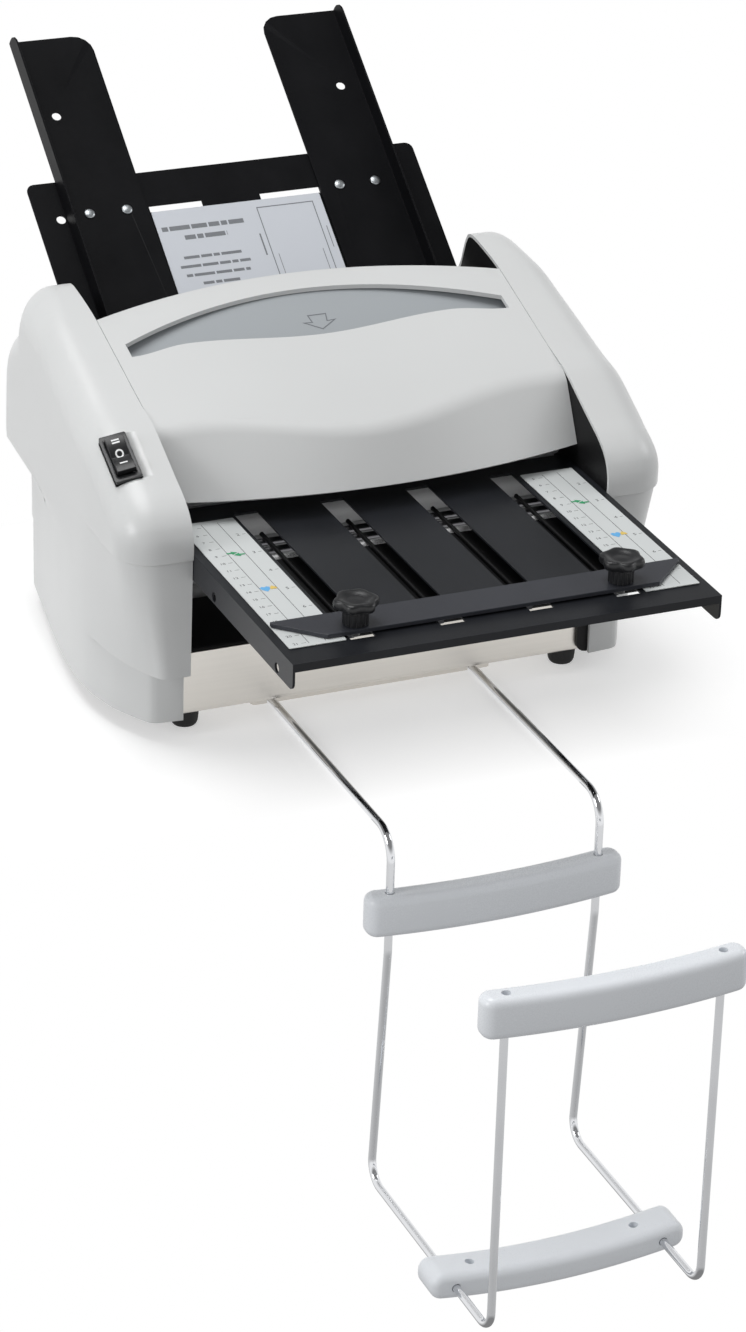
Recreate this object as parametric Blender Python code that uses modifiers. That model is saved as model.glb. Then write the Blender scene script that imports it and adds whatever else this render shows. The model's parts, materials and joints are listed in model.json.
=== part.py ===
"""Paper folding machine: table-top letter folder with a friction feeder.

X runs across the machine, -Y is the front where the folded sheets leave, +Z is up.
The origin is on the table, in the middle of the four feet.  Left is -X.
"""
import bpy
import bmesh
from math import pi, sin, cos, tan, atan2, hypot, radians, sqrt, acos
from mathutils import Matrix, Vector

for old in list(bpy.data.objects):
    bpy.data.objects.remove(old, do_unlink=True)

# ------------------------------------------------------------------ sizes
MM = 0.001

# shared
GAP = 0.3 * MM                   # air between neighbours
OVERRUN = 5.0 * MM               # how far a cutter runs past what it cuts
WELD = 0.002 * MM                # distance under which cap and wall points are one
CLEAR_HALF = 131.5 * MM          # from the middle to the inner face of a side frame
FRAME_T = 2.0 * MM               # side frame plate
SHEET = 1.5 * MM                 # fold tray and pan sheet
THIN = 1.2 * MM                  # feed tray and guide sheet
FOOT_H = 12.5 * MM               # table to the underside of the machine

# end covers
COVER_FRONT = 120.0 * MM         # front face of a cover, in front of the middle
COVER_REAR = 128.0 * MM          # rear face, behind the middle
COVER_TOP = 214.0 * MM           # highest edge over the table
COVER_BULGE = 41.3 * MM          # how far the widest place stands out from a side frame
COVER_OUT = CLEAR_HALF + COVER_BULGE
COVER_WALL = 2.0 * MM
RIM_R = 22.0 * MM                # rounding from the top and front into the side
WIDE_Y = -50.0 * MM              # the side tapers behind this line
TOP_TAPER = 11.0 * MM            # how much narrower the top is at the rear
LEDGE_SIDE = 1.0 * MM            # how far the ledge stands out at the side
REAR_DROP_Z = 106.0 * MM         # the rear of the side narrows below this height
REAR_DROP = 13.0 * MM            # in this height
STEP_Z = 122.0 * MM              # shallow step round the front
STEP_IN = 1.4 * MM
STEP_H = 1.0 * MM
STEP_FADE = 70.0 * MM            # the step dies out over this length of the side
LEDGE_Z = 46.5 * MM              # ledge over the skirt, at the front
LEDGE_RISE_SHARE = 0.06          # it rises to the rear
SKIRT_FRONT = 105.7 * MM
SKIRT_REAR = 107.5 * MM
SKIRT_OUT = 39.5 * MM            # how far the skirt stands out from the side frame
SLOT_Y = 48.0 * MM               # screw slot in the side
SLOT_Z = 97.0 * MM
SLOT_W = 4.5 * MM
SLOT_L = 12.0 * MM
SLOT_LEAN = radians(16)

# hood
HOOD_HALF = CLEAR_HALF - GAP
HOOD_Z = 193.7 * MM              # height of the top plane over the origin
HOOD_SLOPE_SHARE = 0.31          # rise of the top plane per length to the rear
HOOD_REAR = 65.0 * MM            # rear edge in the middle
HOOD_REAR_BOW = 20.0 * MM        # the ends lie this much further forward
HOOD_WALL = 2.5 * MM
HOOD_LIP = 9.0 * MM              # down-turned rear edge
HOOD_ROUND = 3.0 * MM
CREASE_Y = -77.0 * MM            # crease between top and front, in the middle
CREASE_WAVE = 21.0 * MM          # the crease lies further back at the ends
CREASE_MARGIN = 21.5 * MM        # the wave ends this far from the side frames
CREASE_HALF = CLEAR_HALF - CREASE_MARGIN
CREASE_R = 7.0 * MM             # length of the soft bend on each side
HOOD_EDGE_Y = -94.7 * MM         # lower front edge in the middle
HOOD_EDGE_BOW = 18.7 * MM
HOOD_EDGE_Z = 139.0 * MM
POCKET_MARGIN = 9.5 * MM         # hand feed pocket: from its end to a side frame
POCKET_HALF = CLEAR_HALF - POCKET_MARGIN
POCKET_REAR = 48.5 * MM
POCKET_REAR_BOW = 29.0 * MM
POCKET_FRONT = 6.5 * MM
POCKET_WAVE = 7.0 * MM
POCKET_WAVE_MARGIN = 37.0 * MM
POCKET_WAVE_HALF = POCKET_HALF - POCKET_WAVE_MARGIN
POCKET_END = 8.0 * MM
CHUTE_T = 1.5 * MM               # hand feed guide under the pocket
CHUTE_REAR = 51.0 * MM
CHUTE_KNEE_Y = -3.0 * MM
CHUTE_KNEE_Z = 181.0 * MM
CHUTE_FOOT_Y = -31.0 * MM
CHUTE_FOOT_Z = 128.0 * MM

# fold tray
TRAY_Z = 125.0 * MM              # top of the fold tray
TRAY_FRONT = 270.0 * MM
TRAY_REAR = 58.0 * MM
TRAY_HALF = CLEAR_HALF - GAP
TRAY_FLANGE = 16.5 * MM
TRAY_LIP = 5.0 * MM
TRAY_CORNER = 5.0 * MM
RULER_MARGIN = 5.5 * MM          # from a side frame to a ruler
RULER_W = 34.0 * MM
RULER_OUT = CLEAR_HALF - RULER_MARGIN
RULER_IN = RULER_OUT - RULER_W
WINDOW_MARGIN = 10.3 * MM        # from a ruler to the middle of the outer window
WINDOW_OUT = RULER_IN - WINDOW_MARGIN    # also the knob axis
WINDOW_IN = WINDOW_OUT / 3
WINDOW_W = 14.9 * MM
WINDOW_FRONT = 251.5 * MM
WINDOW_REAR = 74.0 * MM
TRAY_HOLE_R = 3.0 * MM
TRAY_HOLE_Y = (151.0 * MM, 246.6 * MM)
TRAY_HOLE_Z = 112.5 * MM
RULER_FRONT = 252.0 * MM
RULER_REAR = 80.0 * MM
RULER_T = 0.5 * MM
GUIDE_ROD_R = 2.3 * MM           # cross rods of the lower guide
GUIDE_ROD_Z = 112.5 * MM
GUIDE_ROD_Y = (91.0 * MM, 103.0 * MM, 115.0 * MM)
GUIDE_FRONT = 226.0 * MM         # front end of the guide wires and of the tray floor
FLOOR_REAR = 119.0 * MM          # rear edge of the tray floor
GUIDE_WIRE_R = 1.4 * MM
GUIDE_WIRE_OFF = 5.3 * MM        # from the middle of a window
GUIDE_WIRE_LAP = 0.5 * MM        # how deep a wire is welded into a rod

# stop bar and knobs
STOP_REAR = 222.5 * MM
STOP_FRONT = 248.3 * MM
STOP_TIP = RULER_OUT
STOP_SLANT = 24.0 * MM           # width of a slanted end
STOP_NOSE = STOP_TIP - STOP_SLANT
STOP_T = 2.5 * MM
STOP_BEVEL = 0.8 * MM
FINGER_W = 6.0 * MM
FINGER_L = 6.0 * MM
FINGER_Y = 229.0 * MM
FINGER_Z = 115.4 * MM            # lowest point of a finger
KNOB_Y = 239.5 * MM
KNOB_STEM_R = 7.5 * MM
KNOB_STEM_H = 9.4 * MM
KNOB_CAP_R = 13.3 * MM
KNOB_CAP_H = 6.0 * MM
KNOB_LOBES = 6
KNOB_LOBE = 1.6 * MM
KNOB_SHANK_R = 2.5 * MM
KNOB_SHANK_END = 8.0 * MM        # shank below the stop bar's top

# feed tray, a plane that climbs to the rear
FEED_Z = 114.2 * MM              # its height over the origin line
FEED_ANGLE = atan2(0.728, 1.0)
FEED_PLAY = 2.5 * MM
FEED_HALF = CLEAR_HALF - FEED_PLAY
FEED_TOP = 220.8 * MM            # lengths along the slope from the origin line
FEED_NECK = 122.0 * MM           # below this the tray is as wide as the machine
FEED_FOOT = 30.0 * MM
FEED_CORNER = 5.0 * MM
FEED_SLOT = 193.4 * MM
FEED_SLOT_W = 4.6 * MM
FEED_SLOT_LEFT = (-56.0 * MM, -21.0 * MM)
FEED_SLOT_RIGHT = (17.5 * MM, 57.5 * MM)
FEED_HOLE_X = 113.5 * MM
FEED_HOLE_R = 3.0 * MM
WING_IN = 57.5 * MM
WING_OUT = 110.0 * MM
WING_TOP = 325.7 * MM
WING_FOOT = 44.0 * MM
WING_CORNER = 12.0 * MM
WING_FLANGE = 13.5 * MM
WING_HOLE_X = 95.5 * MM
WING_HOLE = 267.7 * MM
WING_HOLE_R = 3.0 * MM
RIVET_X = (70.9 * MM, 95.3 * MM)
RIVET_AT = 194.2 * MM
RIVET_R = 3.4 * MM
RIVET_H = 1.2 * MM
RIVET_SHANK_R = 1.6 * MM
LABEL_HALF = 56.0 * MM
LABEL_TOP = 190.6 * MM
LABEL_FOOT = 96.0 * MM
LABEL_T = 0.4 * MM

# switch
SWITCH_OUT = 26.5 * MM           # middle of the switch, out from the left frame
SWITCH_X = CLEAR_HALF + SWITCH_OUT
SWITCH_Y = -71.0 * MM
SWITCH_Z = 168.6 * MM
SWITCH_W = 16.0 * MM
SWITCH_L = 34.0 * MM
SWITCH_FLANGE = 2.2 * MM
SWITCH_ROLL = radians(12)        # it leans out with the cover
SWITCH_PITCH = atan2(0.5, 1.0)
SWITCH_BODY_W = 14.2 * MM
SWITCH_BODY_L = 29.5 * MM
SWITCH_BODY_H = 14.0 * MM
SWITCH_WELL = 9.0 * MM
ROCKER_W = 11.2 * MM
ROCKER_L = 25.0 * MM
ROCKER_R = 25.0 * MM             # crown radius
ROCKER_PROUD = 3.6 * MM          # how far its ends stand over the flange
ROCKER_DEPTH = 4.0 * MM

# base
PAN_FRONT = 100.0 * MM
PAN_REAR = 104.0 * MM
PAN_FRONT_H = 52.5 * MM
PAN_REAR_H = 70.0 * MM
EXIT_Y = 63.0 * MM               # exit chute behind the front panel: its upper edge
EXIT_Z = 69.0 * MM
EXIT_KNEE = 1.5 * MM             # knee of the chute over the panel's edge
EXIT_FOOT = 24.0 * MM
TAB_IN = 7.0 * MM                # front tab of the right frame, turned in over the panel
TAB_T = 2.5 * MM
TAB_TOP = 49.0 * MM
TAB_R = 6.0 * MM
FOOT_R = 8.5 * MM
FOOT_IN = 8.5 * MM
FOOT_X = CLEAR_HALF - FOOT_IN
FOOT_Y = 85.0 * MM
INLET_X = 88.0 * MM
INLET_Z = 42.0 * MM
INLET_W = 27.0 * MM
INLET_H = 20.0 * MM
INLET_D = 17.0 * MM
INLET_RIM = 2.5 * MM
INLET_HOLE_D = 13.0 * MM

# rollers
ROLLER_Y = -48.0 * MM
ROLLER_R = 12.5 * MM
ROLLER_PITCH = 25.3 * MM
ROLLER_LOW_Z = 59.4 * MM         # axis of the lowest roller
ROLLER_PLAY = 3.0 * MM           # from a roller's end to the side frame
ROLLER_HALF = CLEAR_HALF - ROLLER_PLAY
JOURNAL_R = 5.0 * MM
STRIP_T = 4.0 * MM               # bearing strip
STRIP_HALF = 9.5 * MM
STRIP_OVER = 11.0 * MM
GEAR_T = 7.0 * MM
GEAR_TEETH = 16
IDLER_TEETH = 18
TOOTH = 1.0 * MM                 # half the height of a tooth
TOOTH_PLAY = 0.27 * MM
TOOTH_POINTS = 4
FEED_SHAFT_R = 4.0 * MM
FEED_AXIS_Y = 4.8 * MM
WHEEL_R = 17.0 * MM
WHEEL_HALF = 20.0 * MM
WHEEL_HUB = 9.0 * MM
STUD_R = 4.0 * MM

# separator under the feed wheel, in the plane of the feed tray
PAD_HALF = 14.0 * MM
PAD_T = 4.0 * MM
PAD_HALF_L = 7.0 * MM
SPRING_L = 11.0 * MM
SPRING_R = 4.0 * MM
SPRING_WIRE_R = 0.5 * MM
SPRING_TURNS = 4
GUIDE_PLATE_Z = 120.2 * MM       # top of the plate between wheel and rollers
GUIDE_PLATE_REAR = 7.5 * MM
GUIDE_PLATE_FRONT = 38.0 * MM

# drive
MOTOR_R = 30.0 * MM
MOTOR_L = 92.0 * MM
MOTOR_Y = 60.0 * MM
MOTOR_SHAFT_R = 4.0 * MM
PULLEY_T = 8.0 * MM
PULLEY_RIM = 1.5 * MM
MOTOR_PULLEY_R = 8.0 * MM
DRIVE_PULLEY_R = 15.0 * MM
BELT_T = 2.0 * MM

# rear fold plate, a slot that leaves the second nip to the rear
PLATE_ANGLE = radians(-6)
PLATE_START = 16.0 * MM
PLATE_END = 172.0 * MM
PLATE_GAP = 4.0 * MM
PLATE_SLOT_X = 60.0 * MM
PLATE_SLOT_W = 8.0 * MM
PLATE_SLOT_MARGIN = 12.0 * MM
REAR_STOP_AT = 140.0 * MM
REAR_STOP_HALF = 75.0 * MM
REAR_STOP_W = 14.0 * MM
REAR_STOP_T = 3.0 * MM
REAR_FINGER_W = 6.0 * MM

# stacker that hangs over the table edge
WIRE_X = 65.5 * MM
WIRE_R = 2.4 * MM
WIRE_Z = 2.6 * MM
WIRE_REAR = 22.0 * MM
WIRE_EDGE = 262.0 * MM           # where it turns down over the table edge
WIRE_BEND = 17.0 * MM
WIRE_LOW_Y = 248.0 * MM
WIRE_LOW_Z = -232.5 * MM
WIRE_LOW_BEND = 13.0 * MM
WIRE_FAR = 419.0 * MM
WIRE_END_Z = -20.0 * MM
BAR_HALF = 80.0 * MM
BAR_W = 25.5 * MM                # along the wires
BAR_T = 17.0 * MM                # across the wires
BAR_BOW = 6.5 * MM
BAR_CORNER = 7.5 * MM
BAR_ROUND = 3.6 * MM
BAR_HOLE_X = 52.0 * MM
BAR_HOLE_R = 2.8 * MM
BAR_HOLE_D = 8.0 * MM
BAR_TOP_Z = -46.5 * MM
BAR_LOW_Y = 359.7 * MM
BAR_FAR_Z = -25.5 * MM
SOCKET_HALF = 78.0 * MM
SOCKET_FRONT = 80.0 * MM
SOCKET_REAR = 26.0 * MM
SOCKET_Z = 0.5 * MM

# ------------------------------------------------------------------ scene
MODEL = bpy.data.collections.new("paper_folding_machine")
CUTTERS = bpy.data.collections.new("cutters")
bpy.context.scene.collection.children.link(MODEL)
bpy.context.scene.collection.children.link(CUTTERS)


def material(name, colour, roughness, metallic=0.0):
    mat = bpy.data.materials.new(name)
    mat.use_nodes = True
    bsdf = mat.node_tree.nodes["Principled BSDF"]
    bsdf.inputs["Base Color"].default_value = (*colour, 1.0)
    bsdf.inputs["Roughness"].default_value = roughness
    bsdf.inputs["Metallic"].default_value = metallic
    return mat


# looks: (colour, roughness, metallic)
PALE = ((0.66, 0.67, 0.68), 0.38, 0.0)
SHADE = ((0.40, 0.42, 0.45), 0.5, 0.0)
BLACK = ((0.018, 0.018, 0.02), 0.5, 0.0)
BLACK_SHEET = ((0.022, 0.022, 0.026), 0.45, 0.2)
WHITE = ((0.82, 0.83, 0.80), 0.5, 0.0)
STEEL = ((0.62, 0.60, 0.57), 0.32, 0.9)
CHROME = ((0.75, 0.76, 0.78), 0.12, 1.0)
RUBBER = ((0.015, 0.015, 0.015), 0.8, 0.0)
GREY_RUBBER = ((0.25, 0.26, 0.27), 0.6, 0.0)
BAR_GREY = ((0.50, 0.52, 0.55), 0.4, 0.0)
NYLON = ((0.80, 0.79, 0.74), 0.45, 0.0)
BLUE_GREY = ((0.12, 0.14, 0.17), 0.45, 0.3)


# ------------------------------------------------------------------ helpers
def place(right, up, normal, origin=(0, 0, 0)):
    """Matrix whose local x, y and z run along the three given directions."""
    m = Matrix((right, up, normal)).transposed().to_4x4()
    m.translation = Vector(origin)
    return m


ALONG_X = place((0, 1, 0), (0, 0, 1), (1, 0, 0))       # outline in Y,Z
ALONG_Y = place((1, 0, 0), (0, 0, 1), (0, -1, 0))      # outline in X,Z
ALONG_Z = Matrix.Identity(4)                           # outline in X,Y


def finish(obj, look, collection=MODEL):
    for other in list(obj.users_collection):
        other.objects.unlink(obj)
    collection.objects.link(obj)
    if look is not None:
        obj.data.materials.clear()
        obj.data.materials.append(material(obj.name, *look))
    if collection is CUTTERS:
        obj.hide_render = True
        obj.display_type = 'WIRE'
    return obj


def from_bmesh(name, bm, look, matrix=ALONG_Z, collection=MODEL, smooth=True):
    bmesh.ops.recalc_face_normals(bm, faces=bm.faces)
    mesh = bpy.data.meshes.new(name)
    bm.to_mesh(mesh)
    bm.free()
    if smooth:
        mesh.shade_smooth()
        mesh.set_sharp_from_angle(angle=radians(35))
    obj = bpy.data.objects.new(name, mesh)
    obj.matrix_world = matrix
    return finish(obj, look, collection)


def curve_to_mesh(name, curve, look, matrix, collection):
    """Evaluate a curve, weld its caps and give the result as a mesh object."""
    temp = bpy.data.objects.new(name + "_curve", curve)
    bpy.context.scene.collection.objects.link(temp)
    graph = bpy.context.evaluated_depsgraph_get()
    graph.update()
    mesh = bpy.data.meshes.new_from_object(temp.evaluated_get(graph))
    bpy.data.objects.remove(temp, do_unlink=True)
    bm = bmesh.new()
    bm.from_mesh(mesh)
    bmesh.ops.remove_doubles(bm, verts=bm.verts, dist=WELD)
    bpy.data.meshes.remove(mesh)
    return from_bmesh(name, bm, look, matrix, collection)


def slab(name, outline, low, high, look, frame=ALONG_Z, holes=(), collection=MODEL, origin=None):
    """Flat plate: an outline with holes, from low to high along the frame's third axis."""
    curve = bpy.data.curves.new(name, 'CURVE')
    curve.dimensions = '2D'
    curve.fill_mode = 'BOTH'
    curve.extrude = (high - low) / 2
    ox, oy = origin or (0.0, 0.0)
    for ring in (outline, *holes):
        spline = curve.splines.new('POLY')
        spline.points.add(len(ring) - 1)
        for point, (x, y) in zip(spline.points, ring):
            point.co = (x - ox, y - oy, 0.0, 1.0)
        spline.use_cyclic_u = True
    shift = Matrix.Translation((ox, oy, (low + high) / 2))
    return curve_to_mesh(name, curve, look, frame @ shift, collection)


def box(name, low, high, look, frame=ALONG_Z, collection=MODEL):
    bm = bmesh.new()
    bmesh.ops.create_cube(bm, size=1.0)
    size = Vector(high) - Vector(low)
    middle = (Vector(high) + Vector(low)) / 2
    bmesh.ops.scale(bm, vec=size, verts=bm.verts)
    return from_bmesh(name, bm, look, frame @ Matrix.Translation(middle), collection, smooth=False)


def turned(name, profile, look, frame, steps=32, collection=MODEL):
    """Solid of revolution: (radius, height) pairs from the top of the outside down."""
    mesh = bpy.data.meshes.new(name)
    closed = profile[0][0] > 0.0
    count = len(profile)
    edges = [(i, i + 1) for i in range(count - 1)] + ([(count - 1, 0)] if closed else [])
    mesh.from_pydata([(r, 0.0, h) for r, h in profile], edges, [])
    obj = bpy.data.objects.new(name, mesh)
    screw = obj.modifiers.new("turn", 'SCREW')
    screw.axis = 'Z'
    screw.steps = screw.render_steps = steps
    screw.use_merge_vertices = True
    screw.merge_threshold = WELD
    screw.use_smooth_shade = True
    obj.matrix_world = frame
    return finish(obj, look, collection)


def rod(name, radius, low, high, look, frame, steps=24, collection=MODEL):
    return turned(name, [(0.0, high), (radius, high), (radius, low), (0.0, low)],
                  look, frame, steps, collection)


def tube(name, points, radius, look, sides=2, matrix=ALONG_Z, collection=MODEL):
    curve = bpy.data.curves.new(name, 'CURVE')
    curve.dimensions = '3D'
    curve.bevel_depth = radius
    curve.bevel_resolution = sides
    curve.resolution_u = 1
    curve.render_resolution_u = 0
    curve.use_fill_caps = True
    spline = curve.splines.new('POLY')
    spline.points.add(len(points) - 1)
    for point, co in zip(spline.points, points):
        point.co = (*co, 1.0)
    return curve_to_mesh(name, curve, look, matrix, collection)


def boolean(obj, tool, operation):
    mod = obj.modifiers.new(operation.lower(), 'BOOLEAN')
    mod.operation = operation
    mod.solver = 'EXACT'
    mod.object = tool
    return obj


def cut(obj, *tools):
    for tool in tools:
        boolean(obj, tool, 'DIFFERENCE')
    return obj


def join(obj, *tools):
    for tool in tools:
        boolean(obj, tool, 'UNION')
    return obj


def bevel(obj, width, segments=2, angle=radians(40)):
    mod = obj.modifiers.new("bevel", 'BEVEL')
    mod.width = width
    mod.segments = segments
    mod.limit_method = 'ANGLE'
    mod.angle_limit = angle
    return obj


def circle(centre, radius, count=20):
    return [(centre[0] + radius * cos(2 * pi * i / count),
             centre[1] + radius * sin(2 * pi * i / count)) for i in range(count)]


def rectangle(x0, x1, y0, y1):
    return [(x0, y0), (x1, y0), (x1, y1), (x0, y1)]


def stadium(centre, length, width, turn=0.0, count=6):
    """Slot with round ends; its length lies along the turned x axis."""
    half, r = (length - width) / 2, width / 2
    ring = []
    for sign, start in ((1, -pi / 2), (-1, pi / 2)):
        for i in range(count + 1):
            a = start + pi * i / count
            ring.append((sign * half + r * cos(a), r * sin(a)))
    c, s = cos(turn), sin(turn)
    return [(centre[0] + x * c - y * s, centre[1] + x * s + y * c) for x, y in ring]


def rounded(points, radii, steps=4):
    """Closed outline whose corners are replaced by arcs of the given radii."""
    ring, count = [], len(points)
    for i, point in enumerate(points):
        radius = radii[i] if isinstance(radii, (list, tuple)) else radii
        p = Vector(point)
        if radius <= 0.0:
            ring.append(tuple(p))
            continue
        a = (Vector(points[i - 1]) - p).normalized()
        b = (Vector(points[(i + 1) % count]) - p).normalized()
        half = acos(max(-1.0, min(1.0, a.dot(b)))) / 2
        centre = p + (a + b).normalized() * (radius / sin(half))
        start = p + a * (radius / tan(half)) - centre
        end = p + b * (radius / tan(half)) - centre
        sweep = start.angle_signed(end)
        for k in range(steps + 1):
            t = -sweep * k / steps
            ring.append((centre.x + start.x * cos(t) - start.y * sin(t),
                         centre.y + start.x * sin(t) + start.y * cos(t)))
    return ring


def offset_line(points, distance):
    """The open line moved sideways, to its left, by a distance."""
    moved = []
    for i, point in enumerate(points):
        p = Vector(point)
        before = (p - Vector(points[i - 1])).normalized() if i else None
        after = (Vector(points[i + 1]) - p).normalized() if i < len(points) - 1 else None
        before, after = before or after, after or before
        side = Vector((-(before.y + after.y), before.x + after.x)).normalized()
        stretch = 1.0 / max(0.3, side.dot(Vector((-after.y, after.x))))
        moved.append(tuple(p + side * distance * stretch))
    return moved


def bent(points, thickness):
    """Outline of a bent sheet: the line is one face, the other lies to its left."""
    return list(points) + offset_line(points, thickness)[::-1]


def bend(points, radius, steps=3):
    """Open line with its inner corners rounded."""
    ring = [tuple(points[0])]
    for i in range(1, len(points) - 1):
        p = Vector(points[i])
        a = (Vector(points[i - 1]) - p).normalized()
        b = (Vector(points[i + 1]) - p).normalized()
        half = a.angle(b) / 2
        reach = radius / tan(half)
        start, end = p + a * reach, p + b * reach
        for k in range(steps + 1):
            t = k / steps
            ring.append(tuple(start * (1 - t) ** 2 + p * 2 * t * (1 - t) + end * t ** 2))
    return ring + [tuple(points[-1])]


def smooth_share(t):
    t = max(0.0, min(1.0, t))
    return t * t * (3 - 2 * t)


# ------------------------------------------------------------------ end covers
def hood_z(y):
    return HOOD_Z + HOOD_SLOPE_SHARE * y


def ledge_z(y):
    return LEDGE_Z + LEDGE_RISE_SHARE * (y + COVER_FRONT)


# outline of a cover at its inner edge from the front ledge over the top to the rear
# ledge: shares of the front or rear reach, of the height, and of the rim radius
FRONT_EDGE_SHARES = [(-0.987, 0.217, 1.0), (-0.992, 0.35, 1.0), (-0.997, 0.467, 1.0),
                     (-1.0, 0.575, 1.0), (-1.0, 0.617, 1.0), (-0.99, 0.645, 1.0),
                     (-0.966, 0.673, 1.0), (-0.92, 0.701, 1.0), (-0.85, 0.727, 1.0),
                     (-0.767, 0.749, 1.0), (-0.7, 0.767, 1.0), (-0.592, 0.797, 1.0),
                     (-0.483, 0.827, 1.0), (-0.392, 0.8435, 1.0)]
TOP_EDGE_SHARES = [-0.25, 0.0, 0.22, 0.35]
REAR_EDGE_SHARES = [(0.484, 0.987, 1.1), (0.609, 0.998, 1.18), (0.672, 1.0, 1.22),
                    (0.715, 0.993, 1.22), (0.742, 0.972, 1.18), (0.766, 0.939, 1.1),
                    (0.794, 0.893, 1.0), (0.844, 0.85, 0.9), (0.906, 0.813, 0.8),
                    (0.961, 0.771, 0.72), (0.992, 0.72, 0.62), (1.0, 0.654, 0.55),
                    (1.0, 0.523, 0.5), (0.984, 0.481, 0.45), (0.945, 0.453, 0.4),
                    (0.898, 0.439, 0.36), (0.875, 0.425, 0.36), (0.863, 0.402, 0.4),
                    (0.86, 0.364, 0.45), (0.86, 0.283, 0.45)]
SPINE_SHARES = ((-0.667, 0.584), (0.547, 0.70))       # middle line of the upper body
SIDE_CUTS_Y_SHARES = [-0.62, -0.35, -0.1, 0.15, 0.4, 0.62, 0.8]
SIDE_CUTS_Z_SHARES = [0.36, 0.43, 0.5, 0.75, 0.88]
BOTTOM_SHARES = [0.5, 0.0, -0.5]
# outline of the skirt, shares of its width and of its reach to the front or rear
SKIRT_SHARES = [(0.0, -1.0), (0.40, -0.986), (0.50, -0.965), (0.60, -0.905), (0.72, -0.82),
                (0.83, -0.73), (0.91, -0.62), (0.97, -0.51), (1.0, -0.38), (0.98, -0.16),
                (0.90, 0.12), (0.78, 0.40), (0.64, 0.69), (0.56, 0.86), (0.50, 0.96),
                (0.42, 1.0), (0.0, 1.0)]


def reach(share):
    return share * (COVER_REAR if share > 0 else COVER_FRONT)


def cover_edge():
    """(y, z, rim radius) along the inner edge, front ledge to rear ledge."""
    edge = [(reach(s), COVER_TOP * t, RIM_R * r) for s, t, r in FRONT_EDGE_SHARES]
    edge += [(reach(s), hood_z(reach(s)), RIM_R) for s in TOP_EDGE_SHARES]
    edge += [(reach(s), COVER_TOP * t, RIM_R * r) for s, t, r in REAR_EDGE_SHARES]
    for i in (0, -1):
        edge[i] = (edge[i][0], ledge_z(edge[i][0]), edge[i][2])
    return edge


def rim_direction(y, z):
    """Way out from the middle of the body at an edge point."""
    (y0, z0), (y1, z1) = [Vector((reach(s), COVER_TOP * t)) for s, t in SPINE_SHARES]
    if y < 0 and z < z0:
        return Vector((-1.0, LEDGE_RISE_SHARE * -1.0 if z < LEDGE_Z * 1.2 else 0.0))
    if y > 0 and z < COVER_TOP * 0.41:
        return Vector((1.0, LEDGE_RISE_SHARE if z < LEDGE_Z * 1.5 else 0.0))
    line = Vector((y1 - y0, z1 - z0))
    t = max(0.0, min(1.0, Vector((y - y0, z - z0)).dot(line) / line.length_squared))
    return (Vector((y, z)) - Vector((y0, z0)) - line * t).normalized()


def skirt_x(share):
    """Distance of the skirt from the side frame at a share of its reach in Y."""
    share = max(-1.0, min(1.0, share))
    for (a0, b0), (a1, b1) in zip(SKIRT_SHARES[1:], SKIRT_SHARES[2:]):
        if b0 <= share <= b1:
            return SKIRT_OUT * (a0 + (a1 - a0) * (share - b0) / (b1 - b0))
    return SKIRT_OUT * (SKIRT_SHARES[1][0] if share < 0 else SKIRT_SHARES[-2][0])


def side_stretch(y, z):
    """Width of the cover over its side frame, as a share of the straight body's."""
    full = COVER_OUT - CLEAR_HALF
    t = max(0.0, (y - WIDE_Y) / (COVER_REAR - WIDE_Y))
    top = 1.0 - TOP_TAPER / full * t * (0.6 + 0.4 * min(1.0, t))
    ahead = max(0.0, -y - (COVER_FRONT - RIM_R))
    straight = full - RIM_R + sqrt(max(0.0, RIM_R ** 2 - min(ahead, RIM_R * 0.85) ** 2))
    share = y / (COVER_FRONT if y < 0 else SKIRT_REAR)
    foot = min(1.0, (skirt_x(max(share, -0.965)) + LEDGE_SIDE) / straight)
    ahead = smooth_share(-y / COVER_FRONT + 0.2)
    high = REAR_DROP_Z + (STEP_Z - REAR_DROP_Z) * ahead
    drop = REAR_DROP + (STEP_Z - LEDGE_Z - REAR_DROP) * ahead
    low = max(0.0, min(1.0, (high - z) / drop))
    return top + (foot - top) * low


def cover_form(x, y, z):
    """Move a point of the straight body to its place on the real cover."""
    stretch = side_stretch(y, z)
    out = max(0.0, (x - (COVER_OUT - RIM_R)) / RIM_R)
    ahead = max(0.0, (-y - (COVER_FRONT - RIM_R)) / RIM_R)
    size = hypot(out, ahead)
    moved_x = CLEAR_HALF + (x - CLEAR_HALF) * stretch
    if z < STEP_Z and size > 0.0:
        depth = STEP_IN * smooth_share((STEP_Z - z) / STEP_H)
        depth *= smooth_share(1.0 - (y + COVER_FRONT - RIM_R) / STEP_FADE)
        moved_x -= depth * min(1.0, out / size)
        y += depth * min(1.0, ahead / size)
    return moved_x, y, z


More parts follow.
